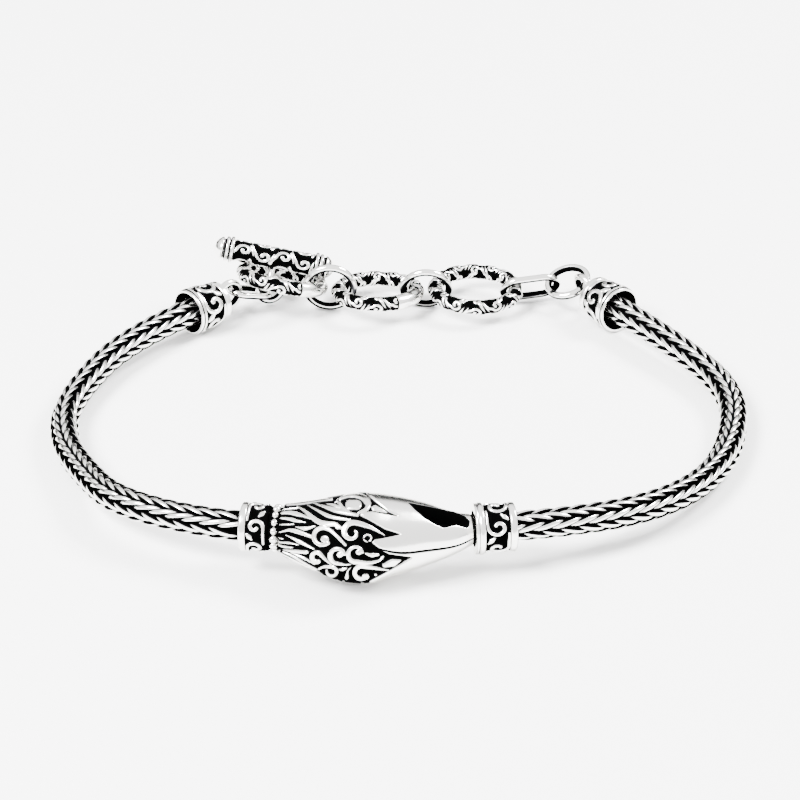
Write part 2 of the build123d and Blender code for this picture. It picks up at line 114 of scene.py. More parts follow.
def camera():
    """Looks at the bracelet from in front and above."""
    data = bpy.data.cameras.new("camera")
    data.lens = LENS
    data.sensor_width = SENSOR
    eye = add_object("camera", data)
    tilt = math.radians(ELEVATION)
    back = Vector((0, -math.cos(tilt), math.sin(tilt))) * DISTANCE
    eye.location = (Vector(SHIFT) + back) * MM
    eye.rotation_euler = (math.radians(90 - ELEVATION), 0, 0)
    bpy.context.scene.camera = eye
    print("camera:", DISTANCE, "mm away,", ELEVATION, "degrees above the floor")


camera()

# %% [markdown]
# ## Colours
# Colours are picked as they look on a screen. The renderer works with amounts of light,
# so one function turns each picked colour into those.

# %% Colours
def linear(hex_colour):
    """Linear red, green, blue and alpha of a screen colour."""
    channels = []
    for start in (1, 3, 5):
        value = int(hex_colour[start:start + 2], 16) / 255
        low = value / 12.92
        high = ((value + 0.055) / 1.055) ** 2.4
        channels.append(low if value <= 0.04045 else high)
    return (*channels, 1)


# %% [markdown]
# ## Cast silver, oxidised and buffed
# Carved silver is dipped in liver of sulphur, which turns all of it black, and is then
# buffed. The buff reaches only the raised parts, so they turn bright while the recesses
# stay matt black. A painted picture of the black would do too, but it would not follow
# the carving when a size changes. So each mesh below carries a number called shine: 0
# deep in a recess and 1 on a raised part. Colour and roughness follow it. Faint hollows
# a third of a millimetre wide break up the highlights, as hand buffing does.

# %% Adding a node
def add_node(tree, kind, values=None, links=None, stops=(), **choices):
    """Adds a node with its choices, input values, links to it and colour stops."""
    node = tree.nodes.new(kind)
    for name, choice in choices.items():
        setattr(node, name, choice)
    for name, value in (values or {}).items():
        node.inputs[name].default_value = value
    for name, socket in (links or {}).items():
        tree.links.new(socket, node.inputs[name])
    for _ in stops[2:]:
        node.color_ramp.elements.new(0.5)
    for index, (position, colour) in enumerate(stops):
        node.color_ramp.elements[index].position = position
        node.color_ramp.elements[index].color = linear(colour)
    return node


# %% Silver from black to bright
# On cast pieces these dark colours are oxide left in the recesses; on the polished wire
# they are painted shade.
OXIDE_AND_PAINTED_SHADE = "#050505"
TARNISH_AND_PAINTED_SHADE = "#3c3c3e"
BRIGHT_SILVER = "#fbfaf7"
SHINE_COLOURS = [(0.3, OXIDE_AND_PAINTED_SHADE), (0.6, TARNISH_AND_PAINTED_SHADE), (0.85, BRIGHT_SILVER)]
OXIDE_ROUGHNESS = 0.9


def finish_silver(tree, shine, roughness, hollow, depth):
    """Colour, roughness and unevenness of silver, the last as a width and depth in mm."""
    ramp = add_node(tree, "ShaderNodeValToRGB", links={"Fac": shine},
                    stops=SHINE_COLOURS)
    rough = add_node(tree, "ShaderNodeMapRange",
                     {"To Min": OXIDE_ROUGHNESS, "To Max": roughness}, {"Value": shine})
    place = add_node(tree, "ShaderNodeTexCoord")
    noise = add_node(tree, "ShaderNodeTexNoise", {"Scale": 1 / (hollow * MM), "Detail": 2},
                     {"Vector": place.outputs["Object"]})
    bump = add_node(tree, "ShaderNodeBump", {"Strength": 1, "Distance": depth * MM},
                    {"Height": noise.outputs["Fac"]})
    surface = tree.nodes["Principled BSDF"]
    surface.inputs["Metallic"].default_value = 1
    tree.links.new(ramp.outputs["Color"], surface.inputs["Base Color"])
    tree.links.new(ramp.outputs["Color"], surface.inputs["Specular Tint"])
    tree.links.new(rough.outputs["Result"], surface.inputs["Roughness"])
    tree.links.new(bump.outputs["Normal"], surface.inputs["Normal"])


def new_material(name):
    """Material with the usual surface, to be set up."""
    material = bpy.data.materials.new(name)
    material.use_nodes = True
    return material


def carved_silver(name, roughness, hollow, depth):
    """Silver whose shine is kept on the mesh."""
    material = new_material(name)
    shine = add_node(material.node_tree, "ShaderNodeAttribute", attribute_name="shine")
    finish_silver(material.node_tree, shine.outputs["Fac"], roughness, hollow, depth)
    return material


# Buffed castings mirror the room softly, with highlights that waver a little.
CAST = carved_silver("cast_silver_oxidised_and_buffed", roughness=0.18, hollow=0.35,
                     depth=0.005)
# Drawn wire is rubbed bright on top alone, so each strand shows one thin highlight.
WOVEN = carved_silver("woven_silver_wire_oxidised", roughness=0.2, hollow=0.3,
                      depth=0.003)

# %% [markdown]
# ## Polished wire silver
# The plain rings and links are drawn wire, bent, soldered and polished, with a faint
# waviness left by the draw plate. Their solids have the right shape and stay, so only
# their material changes. Two sides of each ring are darkened as painted shade: the inner
# side, which faces the middle of its own ring, and the underside.

# %% Polished wire
# Painted shade: the wire is darkened where it faces the middle of its ring and where it
# faces down.
PAINTED_INNER_SHADE_DARK = -0.7
PAINTED_INNER_SHADE_CLEAR = 0.0
PAINTED_UNDER_SHADE_DARK = -0.5
PAINTED_UNDER_SHADE_CLEAR = 0.1
WIRE_NODES = ["link_left", "ring_left", "jump_ring_1", "jump_ring_2", "link_right",
              "ring_right"]


def wire_silver_with_painted_shade(name, middle):
    """Polished wire with painted shade below and facing its ring's middle."""
    material = new_material(name)
    tree = material.node_tree
    place = add_node(tree, "ShaderNodeTexCoord")
    from_middle = add_node(tree, "ShaderNodeVectorMath", {1: middle * MM},
                           {0: place.outputs["Object"]}, operation="SUBTRACT")
    way_out = add_node(tree, "ShaderNodeVectorMath", None,
                       {0: from_middle.outputs["Vector"]}, operation="NORMALIZE")
    facing = add_node(tree, "ShaderNodeVectorMath", None,
                      {0: way_out.outputs["Vector"], 1: place.outputs["Normal"]},
                      operation="DOT_PRODUCT")
    # Painted shade where the wire faces the middle of its ring.
    painted_inner_shade = add_node(tree, "ShaderNodeMapRange",
                     {"From Min": PAINTED_INNER_SHADE_DARK, "From Max": PAINTED_INNER_SHADE_CLEAR},
                     {"Value": facing.outputs["Value"]}, interpolation_type="SMOOTHSTEP")
    normal = add_node(tree, "ShaderNodeSeparateXYZ", None,
                      {"Vector": place.outputs["Normal"]})
    # Painted shade where the wire faces down.
    painted_under_shade = add_node(tree, "ShaderNodeMapRange",
                     {"From Min": PAINTED_UNDER_SHADE_DARK, "From Max": PAINTED_UNDER_SHADE_CLEAR},
                     {"Value": normal.outputs["Z"]}, interpolation_type="SMOOTHSTEP")
    shine = add_node(tree, "ShaderNodeMath", None,
                     {0: painted_inner_shade.outputs["Result"], 1: painted_under_shade.outputs["Result"]},
                     operation="MINIMUM")
    finish_silver(tree, shine.outputs["Value"], roughness=0.1, hollow=0.6, depth=0.004)
    return material


# The polish gives the clearest mirror images on the bracelet, with hard black edges
# that are partly mirrored dark sky and partly painted shade.
for name in WIRE_NODES:
    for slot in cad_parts[name].material_slots:
        slot.material = wire_silver_with_painted_shade("polished_silver_wire_painted_shade_" + name, centre_of(name))
print("polished wire:", len(WIRE_NODES), "pieces")

# %% [markdown]
# ## Sheets of points
# Every carved piece is a sheet of points wrapped round it, like foil over a form. A
# sheet has rows and columns, and may close on itself either way. One function joins a
# piece's sheets into one mesh, adds the shine and hangs it in the place of its solid.
# Relief could also be sculpted or cut with other solids. Moving the points of a sheet
# by a drawn height leaves no stray faces, and it follows the sizes when they change.

# %% Mesh builder
def sheet_faces(rows, columns, round_rows, round_columns):
    """Quads between neighbouring points of a sheet."""
    row = np.arange(rows if round_rows else rows - 1)[:, None]
    column = np.arange(columns if round_columns else columns - 1)[None, :]
    next_row = (row + 1) % rows * columns
    next_column = (column + 1) % columns
    corners = (row * columns + column, next_row + column,
               next_row + next_column, row * columns + next_column)
    return np.stack(np.broadcast_arrays(*corners), -1).reshape(-1, 4)


def add_piece(node, material, sheets):
    """One object in place of a solid, from sheets of (points, shine, rounds)."""
    points, shines, faces, count = [], [], [], 0
    for grid, shine, rounds in sheets:
        rows, columns = grid.shape[:2]
        faces.append(sheet_faces(rows, columns, *rounds) + count)
        points.append(grid.reshape(-1, 3))
        shines.append(np.broadcast_to(shine, (rows, columns)).ravel())
        count += rows * columns
    mesh = bpy.data.meshes.new(node)
    all_faces = np.vstack(faces)
    mesh.from_pydata(np.vstack(points) * MM, [], all_faces.tolist())
    values = mesh.attributes.new("shine", "FLOAT", "POINT")
    values.data.foreach_set("value", np.concatenate(shines).astype(np.float32))
    mesh.shade_smooth()
    mesh.materials.append(material)
    piece = add_object(node + "_finished", mesh)
    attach(piece, "root")
    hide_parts(node)
    print(node, 2 * len(all_faces), "triangles")


# %% [markdown]
# ## Drawing on silver
# A carver draws the ornament as strokes that swell and taper. Here a stroke is a line
# through a few points, or a tail that winds into a curl, with three widths. The field
# `inside` tells how far each point of a sheet lies inside the strokes, and from it come
# both the rounded height of the relief and the shine that the buff leaves. A picture of
# the ornament could be wrapped round each piece, but strokes stay sharp close up, and
# one can be corrected without the others.

# %% Smooth lines
CURL_POINTS = 9


def line_through(corners, steps=8):
    """Smooth line through a few points."""
    corners = np.array(corners, float)
    first, last = 2 * corners[0] - corners[1], 2 * corners[-1] - corners[-2]
    guides = np.vstack([first, corners, last])
    t = np.linspace(0, 1, steps, endpoint=False)[:, None]
    runs = []
    for a, b, c, d in zip(guides, guides[1:], guides[2:], guides[3:]):
        bend = 2 * b + (c - a) * t + (2 * a - 5 * b + 4 * c - d) * t ** 2
        runs.append((bend + (3 * b - a - 3 * c + d) * t ** 3) / 2)
    return np.vstack(runs + [corners[-1:]])


def curl_line(row):
    """Line of a scroll: its tail, then a spiral round its centre."""
    end = row["start"] + row["turn"]
    angles = np.radians(np.linspace(row["start"], end, CURL_POINTS))
    reach = np.linspace(*row["radius"], CURL_POINTS)
    curl = np.stack([np.cos(angles), np.sin(angles)], 1) * reach[:, None] + row["centre"]
    return line_through(list(row["tail"]) + list(curl))


# %% Strokes
STROKE_STEP = 0.06


def stroke(inside, across, up, line, widths):
    """Adds a stroke to a field of how far each point lies inside the drawing."""
    runs = np.linalg.norm(np.diff(line, axis=0), axis=1)
    reach = np.append(0, np.cumsum(runs))
    spots = np.linspace(0, reach[-1], max(2, int(reach[-1] / STROKE_STEP)))
    line = np.stack([np.interp(spots, reach, line[:, axis]) for axis in (0, 1)], 1)
    shares = np.linspace(0, 1, len(line))
    halves = np.interp(shares, np.linspace(0, 1, len(widths)), widths) / 2
    low, high = line.min(0) - max(widths), line.max(0) + max(widths)
    window = (across > low[0]) & (across < high[0]) & (up > low[1]) & (up < high[1])
    a, b = across[window], up[window]
    depth = inside[window]
    for (x, y), half in zip(line, halves):
        depth = np.maximum(depth, half - np.hypot(a - x, b - y))
    inside[window] = depth


# %% Closed outlines
def within(across, up, corners):
    """How far each point lies inside a closed outline, and outside as less than 0."""
    corners = np.array(corners, float)
    inside = np.zeros(across.shape, bool)
    nearest = np.full(across.shape, np.inf)
    for (x0, y0), (x1, y1) in zip(corners, np.roll(corners, -1, 0)):
        run = np.array((x1 - x0, y1 - y0))
        share = ((across - x0) * run[0] + (up - y0) * run[1]) / (run @ run)
        share = np.clip(share, 0, 1)
        away = np.hypot(across - x0 - share * run[0], up - y0 - share * run[1])
        nearest = np.minimum(nearest, away)
        spans = (y0 > up) != (y1 > up)
        level = np.where(spans, (up - y0) / (y1 - y0 if y1 != y0 else 1), 0)
        inside ^= spans & (across < x0 + level * (x1 - x0))
    return np.where(inside, nearest, -nearest)


# %% Relief from a drawing
EDGE_ROUND = 0.13
EDGE_SOFT = 0.05


def eased(value, low, high):
    """0 below low, 1 above high, and a smooth rise between."""
    share = np.clip((value - low) / (high - low), 0, 1)
    return share * share * (3 - 2 * share)


def raised(inside):
    """Height of the relief as a share: steep at its edge and rounded on top."""
    share = np.clip(inside / EDGE_ROUND, 0, 1)
    return np.sqrt(1 - (1 - share) ** 2)


def buffed(inside):
    """Shine that the buff leaves, with a soft edge to each stroke."""
    return eased(inside, -EDGE_SOFT / 2, EDGE_SOFT)


# %% [markdown]
# ## Eagle head: the form
# The head is a bent, tapering form whose cross-sections are half ellipses, wide over
# the skull and narrow at the beak. The same few sections as in the solid model give it,
# less the height of the relief, which the carving then adds. Smooth curves between
# the sections give the soft swell of a filed casting.

# %% Head form
HEAD_LENGTH = 18.3
HEAD_WIDTH = 8.7
HEAD_CROWN = 6.0
HEAD_BACK = 3.45
HEAD_BEND_RADIUS = 72.0
HEAD_MIDDLE = np.array((-2.15, -35.15, HEAD_WIDTH / 2)) + SHIFT
RELIEF = 0.28
END_ROUND = 0.3
HEAD_SECTIONS = [
    {"along": 0.00, "crown": 0.50, "back": 0.71, "width": 0.58, "offset": 0.04},
    {"along": 0.17, "crown": 0.77, "back": 0.80, "width": 0.77, "offset": 0.15},
    {"along": 0.30, "crown": 0.95, "back": 0.90, "width": 0.94, "offset": 0.22},
    {"along": 0.43, "crown": 1.00, "back": 1.00, "width": 1.00, "offset": 0.20},
    {"along": 0.58, "crown": 0.82, "back": 1.00, "width": 0.88, "offset": 0.11},
    {"along": 0.75, "crown": 0.62, "back": 0.80, "width": 0.69, "offset": 0.08},
    {"along": 0.91, "crown": 0.44, "back": 0.48, "width": 0.44, "offset": 0.07},
    {"along": 1.00, "crown": 0.26, "back": 0.42, "width": 0.33, "offset": 0.00},
]


# %% Smooth sections
def column(name, share):
    """Smooth value of a column of the sections at a share of the length."""
    along = np.array([row["along"] for row in HEAD_SECTIONS])
    values = np.array([row[name] for row in HEAD_SECTIONS])
    slopes = np.gradient(values, along)
    left = np.clip(np.searchsorted(along, share) - 1, 0, len(along) - 2)
    span = along[left + 1] - along[left]
    t = (share - along[left]) / span
    rise = values[left + 1] - values[left]
    start, end = slopes[left] * span, slopes[left + 1] * span
    bend = (start - rise) * (1 - t) - (end - rise) * t
    return values[left] + t * rise + t * (1 - t) * bend


# %% Points of the head
def head_axes(along):
    """Middle line, the way to the wrist and the way along, at distances from the neck."""
    heading = (along - HEAD_LENGTH / 2) / HEAD_BEND_RADIUS
    zero = np.zeros_like(heading)
    wrist = np.stack([-np.sin(heading), np.cos(heading), zero], -1)
    ahead = np.stack([np.cos(heading), np.sin(heading), zero], -1)
    centre = HEAD_MIDDLE + (0, HEAD_BEND_RADIUS, 0) - HEAD_BEND_RADIUS * wrist
    return centre, wrist, ahead


def head_points(along, around, inset):
    """Points of the head at distances from the neck and angles above outward."""
    share = along / HEAD_LENGTH
    centre, wrist, _ = head_axes(along)
    offset = column("offset", share) * HEAD_CROWN
    from_end = np.minimum(along, HEAD_LENGTH - along)
    closing = np.sqrt(1 - (1 - np.clip(from_end / END_ROUND, 0, 1)) ** 2)
    crown = (column("crown", share) * HEAD_CROWN - offset - inset) * closing
    back = (column("back", share) * HEAD_BACK + offset - inset) * closing
    half = (column("width", share) * HEAD_WIDTH / 2 - inset) * closing
    out = np.cos(around)
    reach = offset + out * np.where(out > 0, crown, back)
    up = np.stack([0 * half, 0 * half, half * np.sin(around)], -1)
    return centre - wrist * reach[..., None] + up


# %% Head sheet of points
HEAD_ROWS = 300
SEEN_COLUMNS = 220
HIDDEN_COLUMNS = 66
LOW_SIDE = -64
HIGH_SIDE = 120

seen = np.linspace(LOW_SIDE, HIGH_SIDE, SEEN_COLUMNS, endpoint=False)
hidden = np.linspace(HIGH_SIDE, LOW_SIDE + 360, HIDDEN_COLUMNS, endpoint=False)
around, along = np.meshgrid(np.radians(np.append(seen, hidden)),
                            np.linspace(0, HEAD_LENGTH, HEAD_ROWS))
print("head sheet:", along.shape, "points")

# %% [markdown]
# ## Eagle head: the drawing
# The carving is drawn on the plane that the camera sees, measured from the middle of
# the neck: the first number runs along the head and the second up it, in millimetres.
# The smooth face lies to the right of a ragged edge of three plumage tips. To its left
# are the eye, the scrolls and the feather strands. They could be drawn on the unrolled
# skin, but here each stroke can be laid beside the photograph and compared.

# %% Face, beak and culmen
DRAWING_ORIGIN = (-0.07, -0.13)
FACE = [(7.3, 4.6), (8.5, 3.6), (9.2, 3.05), (10.25, 2.2), (11.1, 1.8), (9.6, 2.1),
        (8.6, 2.3), (7.9, 2.2), (7.45, 1.95), (8.2, 1.55), (9.1, 1.02), (9.85, 0.55),
        (11.3, 0.05), (9.8, -0.25), (8.9, -0.4), (8.6, -0.7), (9.4, -1.45),
        (10.25, -1.9), (12.4, -2.25), (11.5, -2.8), (10.0, -3.7), (8.4, -4.6),
        (8.0, -7.0), (20.0, -7.0), (20.0, 7.0), (7.3, 7.0)]
BEAK_OPENING = [(12.0, 3.05), (14.2, 2.6), (16.45, 2.1), (17.5, 1.7), (17.95, 1.2),
                (17.85, 0.7), (17.6, 0.5), (16.6, 0.8), (15.45, 0.55), (14.6, 0.9),
                (13.55, 1.55), (12.65, 2.35)]
CULMEN = [(7.9, -0.3), (8.7, -0.9), (9.5, -1.4), (11.4, -1.75), (13.5, -1.6),
          (16.5, -1.2), (18.4, -0.45)]

# %% Scrolls of the head
SCROLLS = [
    {"tail": [(9.9, -0.05), (8.5, 0.78)], "centre": (6.85, 0.25), "radius": (1.02, 0.3),
     "start": 70, "turn": 320, "width": (0.1, 0.5, 0.6, 0.3)},
    {"tail": [(9.7, -2.1), (9.3, -2.5), (8.4, -2.7)], "centre": (7.2, -1.8),
     "radius": (0.85, 0.6), "start": -75, "turn": -270, "width": (0.2, 0.5, 0.3)},
    {"tail": [(6.7, -2.85), (6.2, -2.9)], "centre": (5.5, -2.0),
     "radius": (0.82, 0.6), "start": -85, "turn": -260, "width": (0.1, 0.5, 0.4)},
    {"tail": [(10.2, -3.5), (9.2, -3.3), (8.5, -3.15)], "centre": (7.7, -3.75),
     "radius": (0.78, 0.55), "start": 60, "turn": 230, "width": (0.15, 0.5, 0.4)},
    {"tail": [(6.2, -0.95), (5.4, -0.1), (4.8, 0.45)], "centre": (4.05, -0.2),
     "radius": (0.92, 0.75), "start": 60, "turn": 250, "width": (0.3, 0.46, 0.46)},
    {"tail": [(4.9, -2.95), (4.3, -2.4)], "centre": (3.5, -2.2),
     "radius": (0.45, 0.5), "start": 45, "turn": 240, "width": (0.12, 0.48, 0.45)},
    {"tail": [(3.7, -3.4), (4.2, -3.15)], "centre": (4.9, -3.6),
     "radius": (0.45, 0.5), "start": 80, "turn": -270, "width": (0.25, 0.36, 0.2)},
    {"tail": [(8.6, -0.25)], "centre": (8.25, -0.27),
     "radius": (0.34, 0.34), "start": 20, "turn": 330, "width": (0.2, 0.2, 0.2)},
]

# %% Feather strands, leaves and drops of the head
LEAVES = [
    {"through": [(5.2, 3.15), (5.9, 3.6), (6.9, 3.82), (7.8, 3.6), (8.3, 3.05),
                 (8.1, 2.5), (7.4, 2.15)],
     "width": (0.12, 0.3, 0.34, 0.5, 0.7, 0.45, 0.25)},
    {"through": [(5.45, 3.35), (5.7, 2.95), (5.95, 2.6), (6.5, 2.25)],
     "width": (0.3, 0.44, 0.42, 0.3)},
    {"through": [(8.9, 2.6), (9.6, 2.35), (10.2, 2.1)], "width": (0.6, 0.35, 0.06)},
    {"through": [(8.1, -1.8), (8.6, -1.95), (9.2, -1.9)], "width": (0.2, 0.45, 0.3)},
    {"through": [(9.8, -3.0), (10.6, -2.75), (11.4, -2.5)], "width": (0.4, 0.75, 0.1)},
    {"through": [(5.5, -3.4), (6.0, -3.35), (6.4, -3.2)], "width": (0.06, 0.35, 0.06)},
    {"through": [(6.7, -3.15), (6.4, -3.55), (6.3, -4.2)], "width": (0.1, 0.18, 0.4)},
    {"through": [(5.35, 1.0), (5.45, 0.8)], "width": (0.4, 0.5)},
    {"through": [(6.6, 2.92), (7.25, 2.92)], "width": (0.95, 0.95)},
    {"through": [(7.43, -1.64), (7.45, -1.64)], "width": (0.59, 0.59)},
    {"through": [(5.65, -1.9), (5.7, -1.9)], "width": (0.6, 0.6)},
    {"through": [(8.0, -4.1), (8.1, -4.1)], "width": (0.59, 0.59)},
    {"through": [(4.24, -0.4), (4.3, -0.4)], "width": (0.75, 0.75)},
    {"through": [(8.95, -3.93), (9.0, -3.93)], "width": (0.23, 0.23)},
    {"through": [(-0.1, 2.05), (0.8, 2.12), (1.9, 1.92), (3.0, 1.5)],
     "width": (0.2, 0.48, 0.1)},
    {"through": [(0.0, 1.6), (0.8, 1.5), (1.7, 1.3), (2.4, 1.2)],
     "width": (0.2, 0.42, 0.12)},
    {"through": [(1.4, 2.85), (2.3, 2.3), (3.1, 1.65), (4.0, 1.15), (5.2, 1.05),
                 (5.7, 0.75)], "width": (0.1, 0.5, 0.6, 0.4)},
    {"through": [(2.4, 2.95), (3.5, 2.4), (4.5, 1.9), (5.5, 1.65), (6.6, 1.5)],
     "width": (0.1, 0.42, 0.25)},
    {"through": [(3.1, 3.1), (4.2, 2.75), (5.3, 2.4), (6.3, 2.15), (7.3, 1.95)],
     "width": (0.12, 0.5, 0.3)},
    {"through": [(4.3, 3.05), (5.2, 2.85), (6.1, 2.5)], "width": (0.1, 0.34, 0.2)},
    {"through": [(0.5, 2.85), (1.7, 3.0), (3.5, 3.3), (4.9, 3.45)],
     "width": (0.14, 0.3, 0.2)},
    {"through": [(-0.1, 2.4), (0.8, 2.5), (1.7, 2.6)], "width": (0.11, 0.16, 0.1)},
    {"through": [(1.4, 0.75), (2.4, 0.6), (3.3, 0.85)], "width": (0.1, 0.45, 0.2)},
    {"through": [(0.0, 0.95), (0.7, 0.95), (1.3, 1.0)], "width": (0.15, 0.2, 0.1)},
    {"through": [(-0.1, 0.15), (0.8, 0.4), (1.7, 0.25), (3.0, -0.2)],
     "width": (0.14, 0.5, 0.36)},
    {"through": [(0.5, -0.1), (1.3, -0.45), (2.2, -0.9), (3.2, -1.4)],
     "width": (0.12, 0.42, 0.2)},
    {"through": [(-0.4, -0.85), (0.8, -0.87), (1.75, -1.05)],
     "width": (0.18, 0.28, 0.1)},
    {"through": [(-0.3, -1.15), (0.5, -1.3), (1.2, -1.35)], "width": (0.16, 0.27, 0.1)},
    {"through": [(0.2, -1.6), (1.2, -1.7), (2.5, -1.75)], "width": (0.1, 0.37, 0.4)},
    {"through": [(0.2, -1.8), (1.3, -2.3), (2.4, -2.95), (3.5, -3.5)],
     "width": (0.12, 0.24, 0.12)},
    {"through": [(1.0, -1.85), (2.1, -2.3), (3.3, -2.95)], "width": (0.12, 0.22, 0.12)},
    {"through": [(-0.1, -1.95), (1.0, -2.5), (2.2, -3.1), (3.5, -3.65)],
     "width": (0.12, 0.2, 0.12)},
    {"through": [(-0.3, -0.4), (0.25, -0.5)], "width": (0.2, 0.12)},
]

# %% [markdown]
# ## Eagle head: the carving
# The underside is never seen in the photograph. It repeats the drawing mirrored about
# the head's ridge, and the side towards the wrist is left smooth, as it is on cast
# jewellery that lies on the skin. The open beak is cut deep and stays black inside.

# %% Carving the head
RIDGE = 17
BEAK_DEPTH = 1.3
BEAK_WALL = 0.4
GROOVE_DEPTH = 0.1
GROOVE_WIDTHS = (0.14, 0.24, 0.24, 0.16)
SMOOTH_FROM = 108
SMOOTH_TO = 122


def drawn_place(along, around):
    """Where each point of the head lies on the drawing."""
    skin = head_points(along, around, 0) - HEAD_MIDDLE
    tilt = math.radians(ELEVATION)
    neck = head_axes(np.zeros(1))[0][0] - HEAD_MIDDLE
    across = skin[..., 0] - neck[0] - DRAWING_ORIGIN[0]
    up = skin[..., 1] * math.sin(tilt) + skin[..., 2] * math.cos(tilt) - DRAWING_ORIGIN[1]
    return across, up


def carved_head():
    """Height of the carving and shine at each point of the head."""
    degrees = np.degrees(around)
    degrees = np.where(degrees > 180, degrees - 360, degrees)
    drawn = np.where(degrees < LOW_SIDE, RIDGE - degrees, degrees)
    across, up = drawn_place(along, np.radians(drawn))
    inside = within(across, up, FACE)
    for row in SCROLLS:
        stroke(inside, across, up, curl_line(row), row["width"])
    for row in LEAVES:
        stroke(inside, across, up, line_through(row["through"]), row["width"])
    groove = np.full(along.shape, -1.0)
    stroke(groove, across, up, line_through(CULMEN), GROOVE_WIDTHS)
    beak = within(across, up, BEAK_OPENING)
    smooth = eased(np.abs(drawn), SMOOTH_FROM, SMOOTH_TO)
    cut = GROOVE_DEPTH * raised(groove * 2) + BEAK_DEPTH * eased(beak, 0, BEAK_WALL)
    height = (RELIEF * raised(inside) - cut) * (1 - smooth) + RELIEF * smooth
    shine = buffed(inside) * (1 - buffed(groove)) * (1 - buffed(beak))
    return height, np.maximum(shine, smooth)


# %% Normals of a sheet
def unit(vectors):
    """The same directions with a length of 1."""
    return vectors / np.maximum(np.linalg.norm(vectors, axis=-1, keepdims=True), 1e-9)


def outward(grid, round_rows, round_columns):
    """Unit normals of a sheet."""
    down = np.roll(grid, -1, 0) - np.roll(grid, 1, 0)
    over = np.roll(grid, -1, 1) - np.roll(grid, 1, 1)
    if not round_rows:
        down[0], down[-1] = grid[1] - grid[0], grid[-1] - grid[-2]
    if not round_columns:
        over[:, 0], over[:, -1] = grid[:, 1] - grid[:, 0], grid[:, -1] - grid[:, -2]
    return unit(np.cross(down, over))


# %% Carved head
form = head_points(along, around, RELIEF)
head_height, head_shine = carved_head()
head_sheet = form + outward(form, False, True) * head_height[..., None]
print("relief of the head from", head_height.min().round(2), "to",
      head_height.max().round(2), "mm")

# %% [markdown]
# ## Beaded collar
# A ring of uneven granules hides the joint between the head's neck and its sleeve. A
# goldsmith melts snippets of wire into little balls and solders them round the neck.
# Each ball is a sheet of its own, because balls raised from one sheet would have no
# undersides.

# %% Collar sizes and round sheets
COLLAR_LENGTH = 1.1
COLLAR_DIAMETER = 4.1
COLLAR_BEAD = 0.8
COLLAR_BEADS = 16
# The balls differ by chance in size, and in length along the head.
BEAD_SIZES = (0.85, 1.0)
BEAD_STRETCHES = (0.9, 1.2)
BALL_ROWS = 13
BALL_COLUMNS = 20
TUBE_ROWS = 4
TUBE_COLUMNS = 64


def full_turn(count, start=0):
    """Angles that share out one turn evenly."""
    return np.linspace(start, start + 2 * math.pi, count, endpoint=False)


def crossed(rows, columns):
    """Two fields over a sheet, one that changes by row and one by column."""
    return np.meshgrid(rows, columns, indexing="ij")


def ball(centre, radius, stretch):
    """Small closed sheet round a point, longer or shorter along the head."""
    tilt, turn = crossed(np.linspace(0, math.pi, BALL_ROWS), full_turn(BALL_COLUMNS))
    local = np.stack([np.cos(tilt) * stretch, np.sin(tilt) * np.cos(turn),
                      np.sin(tilt) * np.sin(turn)], -1)
    return centre + radius * local


def tube(start, ahead, side, up, radius, length):
    """Plain round sheet along a line."""
    station, turn = crossed(np.linspace(0, length, TUBE_ROWS), full_turn(TUBE_COLUMNS))
    ring = side * np.cos(turn)[..., None] - up * np.sin(turn)[..., None]
    return start + ahead * station[..., None] + radius * ring


# %% Collar and head in place
def collar():
    """Core of the collar and the balls round it."""
    centre, wrist, ahead = (part[0] for part in head_axes(np.array([-COLLAR_LENGTH])))
    up = np.array((0, 0, 1))
    core = tube(centre, ahead, wrist, up, COLLAR_DIAMETER / 2, 2 * COLLAR_LENGTH)
    sheets = [(core, 0, (False, True))]
    random = np.random.default_rng(7)
    middle = centre + ahead * COLLAR_LENGTH / 2
    for index in range(COLLAR_BEADS):
        turn = 2 * math.pi * index / COLLAR_BEADS
        ring = wrist * math.cos(turn) + up * math.sin(turn)
        size = COLLAR_BEAD / 2 * random.uniform(*BEAD_SIZES)
        spot = middle + ring * COLLAR_DIAMETER / 2
        bead = ball(spot, size, random.uniform(*BEAD_STRETCHES))
        sheets.append((bead, 1, (False, True)))
    return sheets


add_piece("eagle_head", CAST,
          [(head_sheet, head_shine, (False, True))] + collar())

# %% [markdown]
# ## Sleeves and caps: turned forms
# The sleeves beside the head and the caps at the back are turned on a lathe or cast in
# a mould, so each is a profile spun round its axis. A profile is a short table. Its
# finish column says whether the stretch after a corner is bright, dark or carved.

# %% Turned sheets
PROFILE_STEP = 0.07
ROUND_STEP = 0.075
RIM_ROUND = 0.12
# A profile that closes on its axis ends in a hole of this radius, too small to see.
PINHOLE = 0.01


def rim(start, end, radius, round_by=RIM_ROUND):
    """Profile rows of a bright rim with softened edges."""
    return [{"x": start, "r": radius - round_by, "finish": "bright"},
            {"x": start + round_by, "r": radius, "finish": "bright"},
            {"x": end - round_by, "r": radius, "finish": "bright"},
            {"x": end, "r": radius - round_by, "finish": "dark"}]


